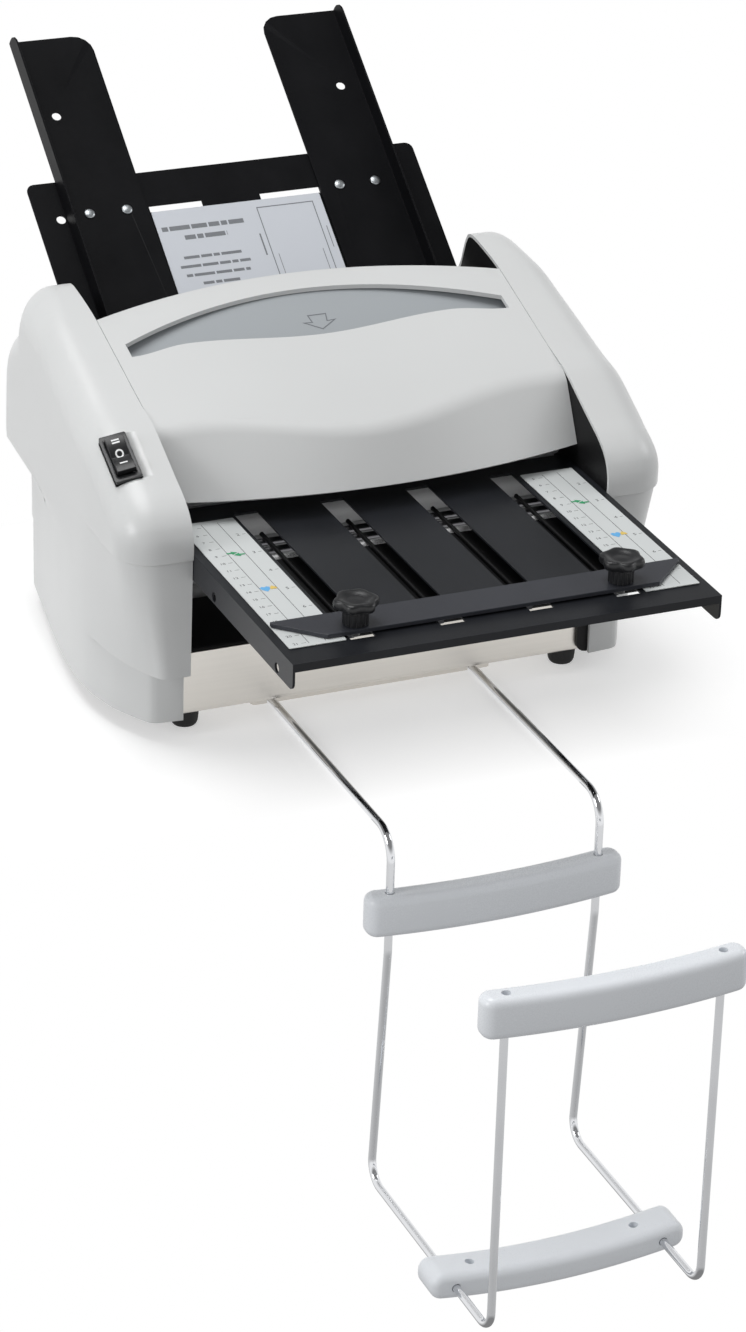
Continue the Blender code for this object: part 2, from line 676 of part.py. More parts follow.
def cover_body(name, wall, side, steps, collection):
    """Upper body of a cover, or the space inside it when a wall is given."""
    start = CLEAR_HALF - (2 if wall else 1) * OVERRUN
    top_x = COVER_OUT - wall
    ring = []
    for y, z, r in cover_edge():
        way = rim_direction(y, z)
        ring.append((y - way.x * wall, z - way.y * wall, way, max(r - wall, r * 0.4)))
    low, high = ring[0], ring[-1]
    ring[0] = (low[0], low[1] + wall, low[2], low[3])
    ring[-1] = (high[0], high[1] + wall, high[2], high[3])
    still = Vector((0.0, 0.0))
    for share in BOTTOM_SHARES:
        ring.append((reach(share), ledge_z(reach(share)) + wall, still, RIM_R - wall))
    bm = bmesh.new()
    loops = [[bm.verts.new((start, y, z)) for y, z, way, r in ring]]
    for k in range(steps + 1):
        a = pi / 2 * k / steps
        loops.append([bm.verts.new((top_x - r * (1 - sin(a)), y - way.x * r * (1 - cos(a)),
                                    z - way.y * r * (1 - cos(a)))) for y, z, way, r in ring])
    for a, b in zip(loops, loops[1:]):
        for i in range(len(ring)):
            j = (i + 1) % len(ring)
            bm.faces.new((a[i], a[j], b[j], b[i]))
    bm.faces.new(loops[0])
    bm.faces.new(loops[-1])
    planes = [((0, reach(s), 0), (0, 1, 0)) for s in SIDE_CUTS_Y_SHARES]
    planes += [((0, 0, COVER_TOP * s), (0, 0, 1)) for s in SIDE_CUTS_Z_SHARES]
    planes = planes[::2] if wall else planes
    planes += [((0, 0, STEP_Z), (0, 0, 1)), ((0, 0, STEP_Z - STEP_H), (0, 0, 1))]
    for point, normal in planes:
        bmesh.ops.bisect_plane(bm, geom=bm.verts[:] + bm.edges[:] + bm.faces[:], dist=WELD,
                               plane_co=point, plane_no=normal)
    for vert in bm.verts:
        x, y, z = cover_form(*vert.co)
        vert.co = (side * x, y, z)
    bmesh.ops.triangulate(bm, faces=bm.faces)
    return from_bmesh(name, bm, PALE if collection is MODEL else None, collection=collection)


def skirt_ring(wall):
    ring = []
    for a, b in SKIRT_SHARES:
        x = CLEAR_HALF + SKIRT_OUT * a
        y = b * (SKIRT_REAR if b > 0 else SKIRT_FRONT)
        ring.append((x, y))
    start = CLEAR_HALF - (2 if wall else 1) * OVERRUN
    ring = offset_line(ring, wall) if wall else ring
    ring[0] = (start, ring[0][1])
    ring[-1] = (start, ring[-1][1])
    return ring


def cover_skirt(name, wall, side):
    """Narrower foot of a cover, up into the ledge, or the space inside it."""
    low = FOOT_H - (OVERRUN if wall else 0.0)
    over = wall + OVERRUN if wall else COVER_WALL / 2
    ring = skirt_ring(wall)
    bm = bmesh.new()
    bottom = [bm.verts.new((side * x, y, low)) for x, y in ring]
    top = [bm.verts.new((side * x, y, ledge_z(y) + over)) for x, y in ring]
    for i in range(len(ring)):
        j = (i + 1) % len(ring)
        bm.faces.new((bottom[i], bottom[j], top[j], top[i]))
    bm.faces.new(bottom)
    bm.faces.new(top)
    return from_bmesh(name, bm, None, collection=CUTTERS)


def cover(name, side):
    body = cover_body(name, 0.0, side, 4, MODEL)
    skirt = cover_skirt(name + "_skirt", 0.0, side)
    space = cover_body(name + "_space", COVER_WALL, side, 2, CUTTERS)
    foot_space = cover_skirt(name + "_foot_space", COVER_WALL, side)
    slot_ring = stadium((SLOT_Y, SLOT_Z), SLOT_L, SLOT_W, pi / 2 + SLOT_LEAN)
    ends = sorted((side * (COVER_OUT - RIM_R), side * (COVER_OUT + OVERRUN)))
    slot = slab(name + "_slot", slot_ring, ends[0], ends[1], None, ALONG_X, collection=CUTTERS)
    ends = sorted((side * CLEAR_HALF, side * (CLEAR_HALF - 3 * OVERRUN)))
    trim = box(name + "_trim", (ends[0], -COVER_FRONT - OVERRUN, 0.0),
               (ends[1], COVER_REAR + OVERRUN, COVER_TOP + OVERRUN), None, collection=CUTTERS)
    join(body, skirt)
    return cut(body, space, foot_space, slot, trim)


cover_left = cover("cover_left", -1)
cover_right = cover("cover_right", 1)

# ------------------------------------------------------------------ roller positions
ROLLER_Z = [ROLLER_LOW_Z + ROLLER_PITCH * i for i in range(4)]     # exit, drive, fold, infeed
NIP_Z = ROLLER_Z[3] - ROLLER_PITCH / 2
FEED_DIR = Vector((0.0, cos(FEED_ANGLE), sin(FEED_ANGLE)))
FEED_NORMAL = Vector((0.0, -sin(FEED_ANGLE), cos(FEED_ANGLE)))
FEED = place((1, 0, 0), FEED_DIR, FEED_NORMAL, (0, 0, FEED_Z))
# the wheel touches the feed plane, one gap away
FEED_AXIS_Z = FEED_Z + FEED_AXIS_Y * tan(FEED_ANGLE) + (WHEEL_R + GAP) / cos(FEED_ANGLE)
WHEEL_FOOT = FEED_AXIS_Y * cos(FEED_ANGLE) + (FEED_AXIS_Z - FEED_Z) * sin(FEED_ANGLE)
PITCH_R = ROLLER_PITCH / 2
IDLER_R = PITCH_R * IDLER_TEETH / GEAR_TEETH
FEED_AXIS = Vector((FEED_AXIS_Y, FEED_AXIS_Z))
INFEED_AXIS = Vector((ROLLER_Y, ROLLER_Z[3]))
apart = FEED_AXIS - INFEED_AXIS
rise = sqrt((PITCH_R + IDLER_R) ** 2 - (apart.length / 2) ** 2)
IDLER_AXIS = INFEED_AXIS + apart / 2 + Vector((-apart.y, apart.x)).normalized() * rise
MOTOR_Z = FOOT_H + GAP + SHEET + GAP + MOTOR_R

# ------------------------------------------------------------------ side frames
STRIP_X = CLEAR_HALF + FRAME_T + GAP
GEAR_X = STRIP_X + STRIP_T + GAP
JOURNAL_END = STRIP_X + STRIP_T + GAP


def frame_outline():
    inset = COVER_WALL + GAP
    ring = []
    for y, z, r in cover_edge():
        way = rim_direction(y, z)
        y, z = y - way.x * inset, z - way.y * inset
        if ring and y < 0.0 and ring[-1][1] < STEP_Z < z:
            for step_z in (STEP_Z - STEP_H, STEP_Z):
                ring.append(cover_form(CLEAR_HALF, y, step_z)[1:])
        ring.append(cover_form(CLEAR_HALF, y, z)[1:])
    front, rear = -SKIRT_FRONT + inset + 2 * GAP, min(ring[-1][0], SKIRT_REAR - inset - 2 * GAP)
    ring[0] = (ring[0][0], ledge_z(ring[0][0]) + inset)
    ring[-1] = (ring[-1][0], ledge_z(ring[-1][0]) + inset)
    foot = rounded([(rear, ledge_z(rear) + inset), (rear, FOOT_H + GAP), (front, FOOT_H + GAP),
                    (front, ledge_z(front) + inset)], [0.0, 0.0, COVER_WALL * 5, 0.0])
    return ring + foot


def frame_holes():
    holes = [circle((ROLLER_Y, z), JOURNAL_R + GAP, 12) for z in ROLLER_Z]
    return holes + [circle(FEED_AXIS, FEED_SHAFT_R + GAP, 12)]


side_frame_left = slab("side_frame_left", frame_outline(), -CLEAR_HALF - FRAME_T, -CLEAR_HALF,
                       BLACK_SHEET, ALONG_X,
                       frame_holes() + [circle((MOTOR_Y, MOTOR_Z), MOTOR_SHAFT_R + GAP, 12)])
side_frame_right = slab("side_frame_right", frame_outline(), CLEAR_HALF, CLEAR_HALF + FRAME_T,
                        BLACK_SHEET, ALONG_X, frame_holes())
tab_ring = rounded([(CLEAR_HALF - TAB_IN, TAB_TOP), (CLEAR_HALF - TAB_IN, FOOT_H + GAP),
                    (CLEAR_HALF + FRAME_T / 2, FOOT_H + GAP),
                    (CLEAR_HALF + FRAME_T / 2, TAB_TOP)], [TAB_R, TAB_R, 0, 0])
join(side_frame_right, slab("frame_tab", tab_ring, PAN_FRONT + GAP, PAN_FRONT + GAP + TAB_T, None,
                            ALONG_Y, collection=CUTTERS))
stud = rod("idler_stud", STUD_R, CLEAR_HALF + FRAME_T / 2, GEAR_X + GEAR_T + GAP, None,
           ALONG_X @ Matrix.Translation((*IDLER_AXIS, 0)), 16, CUTTERS)
join(side_frame_right, stud)

strip_low = ROLLER_Z[0] - STRIP_OVER
strip_high = ROLLER_Z[3] + STRIP_OVER
for side, label in ((-1, "left"), (1, "right")):
    ends = sorted((side * STRIP_X, side * (STRIP_X + STRIP_T)))
    slab("bearing_strip_" + label,
         rounded(rectangle(ROLLER_Y - STRIP_HALF, ROLLER_Y + STRIP_HALF, strip_low, strip_high),
                 STRIP_T, 2), ends[0], ends[1], NYLON, ALONG_X,
         [circle((ROLLER_Y, z), JOURNAL_R + GAP, 12) for z in ROLLER_Z])

# ------------------------------------------------------------------ hood
HOOD_STATION_SHARES = [0.0, 0.14, 0.28, 0.42, 0.56, 0.7, 0.84, 1.0]
HOOD_TOP_SHARES = [0.5]
BEND_SHARES = [0.0, 0.33, 0.67, 1.0]


def hood_section(x):
    """Outer line of the hood across its length, from the rear lip to the front edge."""
    rear = HOOD_REAR - HOOD_REAR_BOW * (x / HOOD_HALF) ** 2
    wave = min(abs(x), CREASE_HALF) / CREASE_HALF
    crease = CREASE_Y + CREASE_WAVE * (1 - cos(pi * wave)) / 2
    edge = HOOD_EDGE_Y + HOOD_EDGE_BOW * (x / HOOD_HALF) ** 2
    top = Vector((rear, hood_z(rear)))
    fold = Vector((crease, hood_z(crease)))
    low = Vector((edge, HOOD_EDGE_Z))
    line = [(rear, top.y - HOOD_LIP), (rear, top.y - HOOD_ROUND),
            (rear - HOOD_ROUND * 0.3, top.y - HOOD_ROUND * 0.35),
            (rear - HOOD_ROUND, hood_z(rear - HOOD_ROUND))]
    begin = fold + (top - fold).normalized() * CREASE_R
    end = fold + (low - fold).normalized() * CREASE_R
    line += [tuple(Vector(line[3]).lerp(begin, t)) for t in HOOD_TOP_SHARES]
    for t in BEND_SHARES:
        line.append(tuple(begin * (1 - t) ** 2 + fold * 2 * t * (1 - t) + end * t ** 2))
    return line + [tuple(low)]


def hood_shell(name):
    bm = bmesh.new()
    stations = [-s for s in HOOD_STATION_SHARES[:0:-1]] + HOOD_STATION_SHARES
    loops = []
    for share in stations:
        line = hood_section(share * HOOD_HALF)
        ring = line + offset_line(line, HOOD_WALL)[::-1]
        loops.append([bm.verts.new((share * HOOD_HALF, y, z)) for y, z in ring])
    for a, b in zip(loops, loops[1:]):
        for i in range(len(a)):
            j = (i + 1) % len(a)
            bm.faces.new((a[i], a[j], b[j], b[i]))
    bm.faces.new(loops[0])
    bm.faces.new(loops[-1])
    bmesh.ops.triangulate(bm, faces=bm.faces)
    return from_bmesh(name, bm, PALE)


def pocket_outline():
    half, inner, mid = POCKET_HALF, POCKET_WAVE_HALF, POCKET_FRONT + POCKET_WAVE
    ring = []
    for share in [-1.0 + i / 6 for i in range(13)]:
        x = share * half
        ring.append((x, POCKET_REAR - POCKET_REAR_BOW * share ** 2))
    for share in [1.0 - i / 6 for i in range(13)]:
        x = abs(share) * half
        if x < inner:
            y = POCKET_FRONT + POCKET_WAVE * (1 - cos(pi * x / inner)) / 2
        else:
            y = mid + (POCKET_END - mid) * (1 - cos(pi * (x - inner) / (half - inner))) / 2
        ring.append((share * half, y))
    return ring


hood = hood_shell("hood")
pocket = slab("pocket", pocket_outline(), hood_z(0.0) - HOOD_LIP, hood_z(POCKET_REAR) + OVERRUN,
              None, collection=CUTTERS)
cut(hood, pocket)

chute_line = [(CHUTE_FOOT_Y, CHUTE_FOOT_Z), (CHUTE_KNEE_Y, CHUTE_KNEE_Z),
              (CHUTE_REAR, hood_z(CHUTE_REAR) - HOOD_WALL / cos(atan2(HOOD_SLOPE_SHARE, 1)) - GAP)]
chute = slab("hand_feed_guide", bent(bend(chute_line, HOOD_ROUND * 4)[::-1], CHUTE_T),
             -HOOD_HALF, HOOD_HALF, SHADE, ALONG_X)
# its rear edge follows the lip of the hood
lip_ring = [(x * (HOOD_HALF + OVERRUN),
             HOOD_REAR - HOOD_REAR_BOW * x ** 2 - HOOD_WALL - GAP - HOOD_ROUND)
            for x in [-1.0 + i / 5 for i in range(11)]]
lip_ring += [(HOOD_HALF + OVERRUN, HOOD_REAR + OVERRUN), (-HOOD_HALF - OVERRUN, HOOD_REAR + OVERRUN)]
cut(chute, slab("chute_rear", lip_ring, HOOD_EDGE_Z, COVER_TOP + OVERRUN, None,
                collection=CUTTERS))

# ------------------------------------------------------------------ base pan and feet
pan_line = [(-PAN_FRONT, PAN_FRONT_H), (-PAN_FRONT, FOOT_H + GAP),
            (PAN_REAR, FOOT_H + GAP), (PAN_REAR, PAN_REAR_H)]
exit_y = -PAN_FRONT + SHEET + GAP
exit_line = [(-EXIT_Y, EXIT_Z), (exit_y, PAN_FRONT_H + EXIT_KNEE),
             (exit_y, PAN_FRONT_H - EXIT_FOOT)]
slab("exit_chute", bent(bend(exit_line, SHEET * 2), THIN), -HOOD_HALF, HOOD_HALF, BLACK_SHEET,
     ALONG_X)
base_pan = slab("base_pan", bent(bend(pan_line, SHEET * 2), SHEET), -HOOD_HALF, HOOD_HALF,
                STEEL, ALONG_X)
inlet_low = (INLET_X - INLET_W / 2 - GAP, PAN_REAR - SHEET - OVERRUN, INLET_Z - INLET_H / 2 - GAP)
inlet_high = (INLET_X + INLET_W / 2 + GAP, PAN_REAR + OVERRUN, INLET_Z + INLET_H / 2 + GAP)
cut(base_pan, box("inlet_cut", inlet_low, inlet_high, None, collection=CUTTERS))

inlet = box("power_inlet",
            (INLET_X - INLET_W / 2, PAN_REAR - INLET_D, INLET_Z - INLET_H / 2),
            (INLET_X + INLET_W / 2, PAN_REAR + GAP + INLET_RIM / 2, INLET_Z + INLET_H / 2), BLACK)
rim = box("inlet_rim",
          (INLET_X - INLET_W / 2 - INLET_RIM, PAN_REAR + GAP, INLET_Z - INLET_H / 2 - INLET_RIM),
          (INLET_X + INLET_W / 2 + INLET_RIM, PAN_REAR + GAP + INLET_RIM,
           INLET_Z + INLET_H / 2 + INLET_RIM), None, collection=CUTTERS)
well = box("inlet_well",
           (INLET_X - INLET_W / 2 + INLET_RIM, PAN_REAR - INLET_HOLE_D,
            INLET_Z - INLET_H / 2 + INLET_RIM),
           (INLET_X + INLET_W / 2 - INLET_RIM, PAN_REAR + OVERRUN,
            INLET_Z + INLET_H / 2 - INLET_RIM), None, collection=CUTTERS)
cut(join(inlet, rim), well)

foot_profile = [(0.0, FOOT_H), (FOOT_R, FOOT_H), (FOOT_R, FOOT_H * 0.5),
                (FOOT_R * 0.9, FOOT_H * 0.12), (FOOT_R * 0.8, 0.0), (0.0, 0.0)]
for label, sx, sy in (("front_left", -1, -1), ("front_right", 1, -1),
                      ("rear_left", -1, 1), ("rear_right", 1, 1)):
    turned("foot_" + label, foot_profile, RUBBER,
           Matrix.Translation((sx * FOOT_X, sy * FOOT_Y, 0)), 16)

# ------------------------------------------------------------------ fold tray
windows = [side * at for at in (WINDOW_IN, WINDOW_OUT) for side in (-1, 1)]
window_rings = [rectangle(x - WINDOW_W / 2, x + WINDOW_W / 2, -WINDOW_FRONT, -WINDOW_REAR)
                for x in windows]
fold_tray = slab("fold_tray", rectangle(-TRAY_HALF, TRAY_HALF, -TRAY_FRONT, -TRAY_REAR),
                 TRAY_Z - SHEET, TRAY_Z, BLACK_SHEET, holes=window_rings)
flange_ring = rounded([(-TRAY_REAR, TRAY_Z - SHEET / 2), (-TRAY_FRONT, TRAY_Z - SHEET / 2),
                       (-TRAY_FRONT, TRAY_Z - TRAY_FLANGE), (-TRAY_REAR, TRAY_Z - TRAY_FLANGE)],
                      [0.0, 0.0, TRAY_CORNER, 0.0])
for side in (-1, 1):
    ends = sorted((side * (TRAY_HALF - SHEET), side * TRAY_HALF))
    flange = slab("tray_flange", flange_ring, ends[0], ends[1], None, ALONG_X,
                  [circle((-y, TRAY_HOLE_Z), TRAY_HOLE_R, 12) for y in TRAY_HOLE_Y], CUTTERS)
    join(fold_tray, flange)
join(fold_tray, box("tray_lip", (-TRAY_HALF + SHEET / 2, -TRAY_FRONT, TRAY_Z - TRAY_LIP),
                    (TRAY_HALF - SHEET / 2, -TRAY_FRONT + SHEET, TRAY_Z - SHEET / 2), None,
                    collection=CUTTERS))
for side, label in ((-1, "left"), (1, "right")):
    ends = sorted((side * RULER_IN, side * RULER_OUT))
    box("ruler_" + label, (ends[0], -RULER_FRONT, TRAY_Z + GAP),
        (ends[1], -RULER_REAR, TRAY_Z + GAP + RULER_T), WHITE)

rod_half = TRAY_HALF - SHEET - GAP
lower_guide = rod("lower_guide", GUIDE_ROD_R, -rod_half, rod_half, CHROME,
                  ALONG_X @ Matrix.Translation((-GUIDE_ROD_Y[0], GUIDE_ROD_Z, 0)), 8)
wire_z = GUIDE_ROD_Z + GUIDE_ROD_R + GUIDE_WIRE_R - GUIDE_WIRE_LAP
for n, x in enumerate(windows):
    for m, off in enumerate((-GUIDE_WIRE_OFF, GUIDE_WIRE_OFF)):
        wire = tube("guide_wire_%d%d" % (n, m),
                    [(x + off, -GUIDE_ROD_Y[0] + GUIDE_ROD_R * 2, wire_z),
                     (x + off, -GUIDE_FRONT, wire_z)],
                    GUIDE_WIRE_R, None, 0, collection=CUTTERS)
        join(lower_guide, wire)
for n, y in enumerate(GUIDE_ROD_Y[1:]):
    join(lower_guide, rod("guide_rod_%d" % n, GUIDE_ROD_R, -rod_half, rod_half, None,
                          ALONG_X @ Matrix.Translation((-y, GUIDE_ROD_Z, 0)), 8, CUTTERS))

floor_z = wire_z - GUIDE_WIRE_R - GAP
box("fold_tray_floor", (-rod_half, -GUIDE_FRONT, floor_z - THIN), (rod_half, -FLOOR_REAR, floor_z),
    BLACK_SHEET)

# ------------------------------------------------------------------ stop bar and knobs
STOP_Z = TRAY_Z + GAP + RULER_T + GAP
stop_outline = [(-STOP_NOSE, -STOP_FRONT), (STOP_NOSE, -STOP_FRONT),
                (STOP_TIP, -STOP_REAR - STOP_T), (STOP_TIP, -STOP_REAR),
                (-STOP_TIP, -STOP_REAR), (-STOP_TIP, -STOP_REAR - STOP_T)]
stop_bar = slab("stop_bar", stop_outline, STOP_Z, STOP_Z + STOP_T, BLACK,
                holes=[circle((s * WINDOW_OUT, -KNOB_Y), KNOB_SHANK_R + GAP, 12)
                       for s in (-1, 1)])
for n, x in enumerate(windows):
    join(stop_bar, box("stop_finger_%d" % n,
                       (x - FINGER_W / 2, -FINGER_Y - FINGER_L / 2, FINGER_Z),
                       (x + FINGER_W / 2, -FINGER_Y + FINGER_L / 2, STOP_Z + STOP_T / 2),
                       None, collection=CUTTERS))


def lobed(radius, depth, lobes, count):
    return [((radius - depth * (1 - cos(lobes * 2 * pi * i / count)) / 2) * cos(2 * pi * i / count),
             (radius - depth * (1 - cos(lobes * 2 * pi * i / count)) / 2) * sin(2 * pi * i / count))
            for i in range(count)]


def knob(name, frame):
    """Clamp knob: lobed cap on a round stem with a threaded shank, axis on local z."""
    cap_low, cap_high = KNOB_STEM_H, KNOB_STEM_H + KNOB_CAP_H
    cap = slab(name, lobed(KNOB_CAP_R, KNOB_LOBE, KNOB_LOBES, KNOB_LOBES * 4), cap_low, cap_high,
               BLACK, frame)
    cap.matrix_world = frame
    cap.data.transform(Matrix.Translation((0, 0, (cap_low + cap_high) / 2)))
    bevel(cap, KNOB_LOBE, 1)
    stem = rod(name + "_stem", KNOB_STEM_R, 0.0, cap_low + KNOB_LOBE * 2, None, frame, 14, CUTTERS)
    shank = rod(name + "_shank", KNOB_SHANK_R, -KNOB_SHANK_END, KNOB_LOBE, None, frame, 12,
                CUTTERS)
    return join(cap, stem, shank)


for side, label in ((-1, "left"), (1, "right")):
    knob("stop_knob_" + label,
         Matrix.Translation((side * WINDOW_OUT, -KNOB_Y, STOP_Z + STOP_T + GAP)))

# ------------------------------------------------------------------ feed tray and guides
tray_ring = rounded([(-HOOD_HALF, FEED_FOOT), (HOOD_HALF, FEED_FOOT), (HOOD_HALF, FEED_NECK),
                     (FEED_HALF, FEED_NECK), (FEED_HALF, FEED_TOP), (-FEED_HALF, FEED_TOP),
                     (-FEED_HALF, FEED_NECK), (-HOOD_HALF, FEED_NECK)],
                    [0, 0, 0, 0, FEED_CORNER, FEED_CORNER, 0, 0])
slot_rings = [rectangle(a, b, FEED_SLOT - FEED_SLOT_W / 2, FEED_SLOT + FEED_SLOT_W / 2)
              for a, b in (FEED_SLOT_LEFT, FEED_SLOT_RIGHT)]
rivet_spots = [s * x for x in RIVET_X for s in (-1, 1)]
tray_holes = [circle((s * FEED_HOLE_X, FEED_SLOT), FEED_HOLE_R, 12) for s in (-1, 1)]
tray_holes += [circle((x, RIVET_AT), RIVET_SHANK_R + GAP, 10) for x in rivet_spots]
slab("feed_tray", tray_ring, -THIN, 0.0, BLACK_SHEET, FEED, slot_rings + tray_holes)

wing_low, wing_high = GAP, GAP + THIN
for side, label in ((-1, "left"), (1, "right")):
    ring = rounded([(side * WING_IN, WING_FOOT), (side * WING_OUT, WING_FOOT),
                    (side * WING_OUT, WING_TOP), (side * WING_IN, WING_TOP)],
                   [0, 0, 0, WING_CORNER])
    spots = [circle((side * x, RIVET_AT), RIVET_SHANK_R + GAP, 10) for x in RIVET_X]
    guide = slab("paper_guide_" + label, ring, wing_low, wing_high, BLACK_SHEET, FEED,
                 spots + [circle((side * WING_HOLE_X, WING_HOLE), WING_HOLE_R, 12)])
    side_ring = rounded([(WING_FOOT, wing_low + THIN / 2), (WING_FOOT, wing_low + WING_FLANGE),
                         (WING_TOP, wing_low + WING_FLANGE), (WING_TOP, wing_low + THIN / 2)],
                        [0, 0, WING_CORNER * 0.8, 0])
    ends = sorted((side * (WING_OUT - THIN), side * WING_OUT))
    edge_frame = place(FEED_DIR, FEED_NORMAL, (1, 0, 0), (0, 0, FEED_Z))
    join(guide, slab("guide_flange_" + label, side_ring, ends[0], ends[1], None, edge_frame,
                     collection=CUTTERS))

rivet_profile = [(0.0, wing_high + GAP + RIVET_H), (RIVET_R * 0.55, wing_high + GAP + RIVET_H),
                 (RIVET_R, wing_high + GAP + RIVET_H * 0.35), (RIVET_R, wing_high + GAP),
                 (RIVET_SHANK_R, wing_high + GAP), (RIVET_SHANK_R, -THIN - GAP),
                 (RIVET_R, -THIN - GAP), (RIVET_R, -THIN - GAP - RIVET_H * 0.6),
                 (0.0, -THIN - GAP - RIVET_H * 0.6)]
for n, x in enumerate(rivet_spots):
    turned("guide_rivet_%d" % (n + 1), rivet_profile, STEEL,
           FEED @ Matrix.Translation((x, RIVET_AT, 0)), 10)
box("feed_label", (-LABEL_HALF, LABEL_FOOT, GAP), (LABEL_HALF, LABEL_TOP, GAP + LABEL_T),
    WHITE, FEED)

# ------------------------------------------------------------------ switch in the left cover
slope = Vector((0.0, cos(SWITCH_PITCH), sin(SWITCH_PITCH)))
lean = Vector((cos(SWITCH_ROLL), sin(SWITCH_ROLL) * -sin(SWITCH_PITCH),
               sin(SWITCH_ROLL) * cos(SWITCH_PITCH)))
SWITCH = place(lean, slope, lean.cross(slope), (-SWITCH_X, SWITCH_Y, SWITCH_Z))
bezel = slab("switch_bezel",
             rounded(rectangle(-SWITCH_W / 2, SWITCH_W / 2, -SWITCH_L / 2, SWITCH_L / 2),
                     SWITCH_FLANGE / 3, 2), 0.0, SWITCH_FLANGE, BLACK, SWITCH)
join(bezel, box("switch_body", (-SWITCH_BODY_W / 2, -SWITCH_BODY_L / 2, -SWITCH_BODY_H),
                (SWITCH_BODY_W / 2, SWITCH_BODY_L / 2, SWITCH_FLANGE / 2), None, SWITCH, CUTTERS))
cut(bezel, box("switch_well", (-ROCKER_W / 2 - GAP, -ROCKER_L / 2 - GAP * 3,
                               SWITCH_FLANGE - SWITCH_WELL),
               (ROCKER_W / 2 + GAP, ROCKER_L / 2 + GAP * 3, SWITCH_FLANGE + OVERRUN), None,
               SWITCH, CUTTERS))
cut(cover_left,
    box("switch_seat", (-SWITCH_W / 2 - GAP, -SWITCH_L / 2 - GAP, -GAP),
        (SWITCH_W / 2 + GAP, SWITCH_L / 2 + GAP, SWITCH_FLANGE + OVERRUN), None, SWITCH, CUTTERS),
    box("switch_hole", (-SWITCH_BODY_W / 2 - GAP, -SWITCH_BODY_L / 2 - GAP, -OVERRUN * 2),
        (SWITCH_BODY_W / 2 + GAP, SWITCH_BODY_L / 2 + GAP, OVERRUN), None, SWITCH, CUTTERS))

# the rocker turns about its own cross axis, in the plane of the flange
ROCKER_TURN = 0.0
half_l = ROCKER_L / 2
crown = []
for share in [-1.0 + i / 5 for i in range(11)]:
    y = half_l * share
    crown.append((y, ROCKER_PROUD - (ROCKER_R - sqrt(ROCKER_R ** 2 - (half_l * (1 - abs(share))) ** 2))))
keel = [(half_l * 0.55, -ROCKER_DEPTH), (-half_l * 0.55, -ROCKER_DEPTH)]
rocker_frame = SWITCH @ place((0, 1, 0), (0, 0, 1), (1, 0, 0), (0, 0, SWITCH_FLANGE))
rocker_ring = [(y, z) for y, z in crown[::-1]] + [(-half_l, 0.0)] + keel[::-1] + [(half_l, 0.0)]
slab("switch_rocker", rocker_ring, -ROCKER_W / 2, ROCKER_W / 2, BLACK, rocker_frame)

# ------------------------------------------------------------------ rollers and gears
roller_names = ["exit_roller", "drive_roller", "fold_roller", "infeed_roller"]


def axis_frame(y, z):
    """Local z along X, origin on the turning axis."""
    return ALONG_X @ Matrix.Translation((y, z, 0))


def gear_ring(teeth, pitch_r, tip_at):
    count = teeth * TOOTH_POINTS
    return [((pitch_r - TOOTH_PLAY + TOOTH * cos(teeth * (2 * pi * i / count - tip_at)))
             * cos(2 * pi * i / count),
             (pitch_r - TOOTH_PLAY + TOOTH * cos(teeth * (2 * pi * i / count - tip_at)))
             * sin(2 * pi * i / count)) for i in range(count)]


def gear(name, centre, teeth, pitch_r, tip_at, bore, look=NYLON):
    obj = slab(name, gear_ring(teeth, pitch_r, tip_at), GEAR_X, GEAR_X + GEAR_T, look,
               axis_frame(*centre), [circle((0, 0), bore, 16)])
    middle = GEAR_X + GEAR_T / 2
    obj.matrix_world = axis_frame(*centre)
    obj.data.transform(Matrix.Translation((0, 0, middle)))
    return obj


PULLEY_X = JOURNAL_END + GAP
for n, name in enumerate(roller_names):
    left_end = -(PULLEY_X + PULLEY_T + GAP) if name == "drive_roller" else -JOURNAL_END
    right_end = GEAR_X + GEAR_T + GAP
    profile = [(0.0, right_end), (JOURNAL_R, right_end), (JOURNAL_R, ROLLER_HALF),
               (ROLLER_R, ROLLER_HALF), (ROLLER_R, -ROLLER_HALF), (JOURNAL_R, -ROLLER_HALF),
               (JOURNAL_R, left_end), (0.0, left_end)]
    turned(name, profile, GREY_RUBBER, axis_frame(ROLLER_Y, ROLLER_Z[n]), 20)
    tip = pi / 2 if n % 2 else pi / 2 + pi / GEAR_TEETH
    gear(name.replace("_roller", "_gear"), (ROLLER_Y, ROLLER_Z[n]), GEAR_TEETH, PITCH_R, tip,
         JOURNAL_R + GAP)

# phases of the idler and the feed gear, so that teeth meet gaps
tip_infeed = pi / 2
way = atan2(*(IDLER_AXIS - INFEED_AXIS).yx)
tip_idler = way + pi - (pi - GEAR_TEETH * (way - tip_infeed)) / IDLER_TEETH
gear("idler_gear", IDLER_AXIS, IDLER_TEETH, IDLER_R, tip_idler, STUD_R + GAP)
way = atan2(*(FEED_AXIS - IDLER_AXIS).yx)
tip_feed = way + pi - (pi - IDLER_TEETH * (way - tip_idler)) / GEAR_TEETH
gear("feed_gear", FEED_AXIS, GEAR_TEETH, PITCH_R, tip_feed, FEED_SHAFT_R + GAP)

rod("feed_shaft", FEED_SHAFT_R, -CLEAR_HALF - FRAME_T - GAP, GEAR_X + GEAR_T + GAP, STEEL,
    axis_frame(*FEED_AXIS), 16)
turned("feed_wheel", [(WHEEL_R, WHEEL_HALF), (WHEEL_R, -WHEEL_HALF),
                      (FEED_SHAFT_R + GAP, -WHEEL_HALF), (FEED_SHAFT_R + GAP, WHEEL_HALF)],
       GREY_RUBBER, axis_frame(*FEED_AXIS), 28)

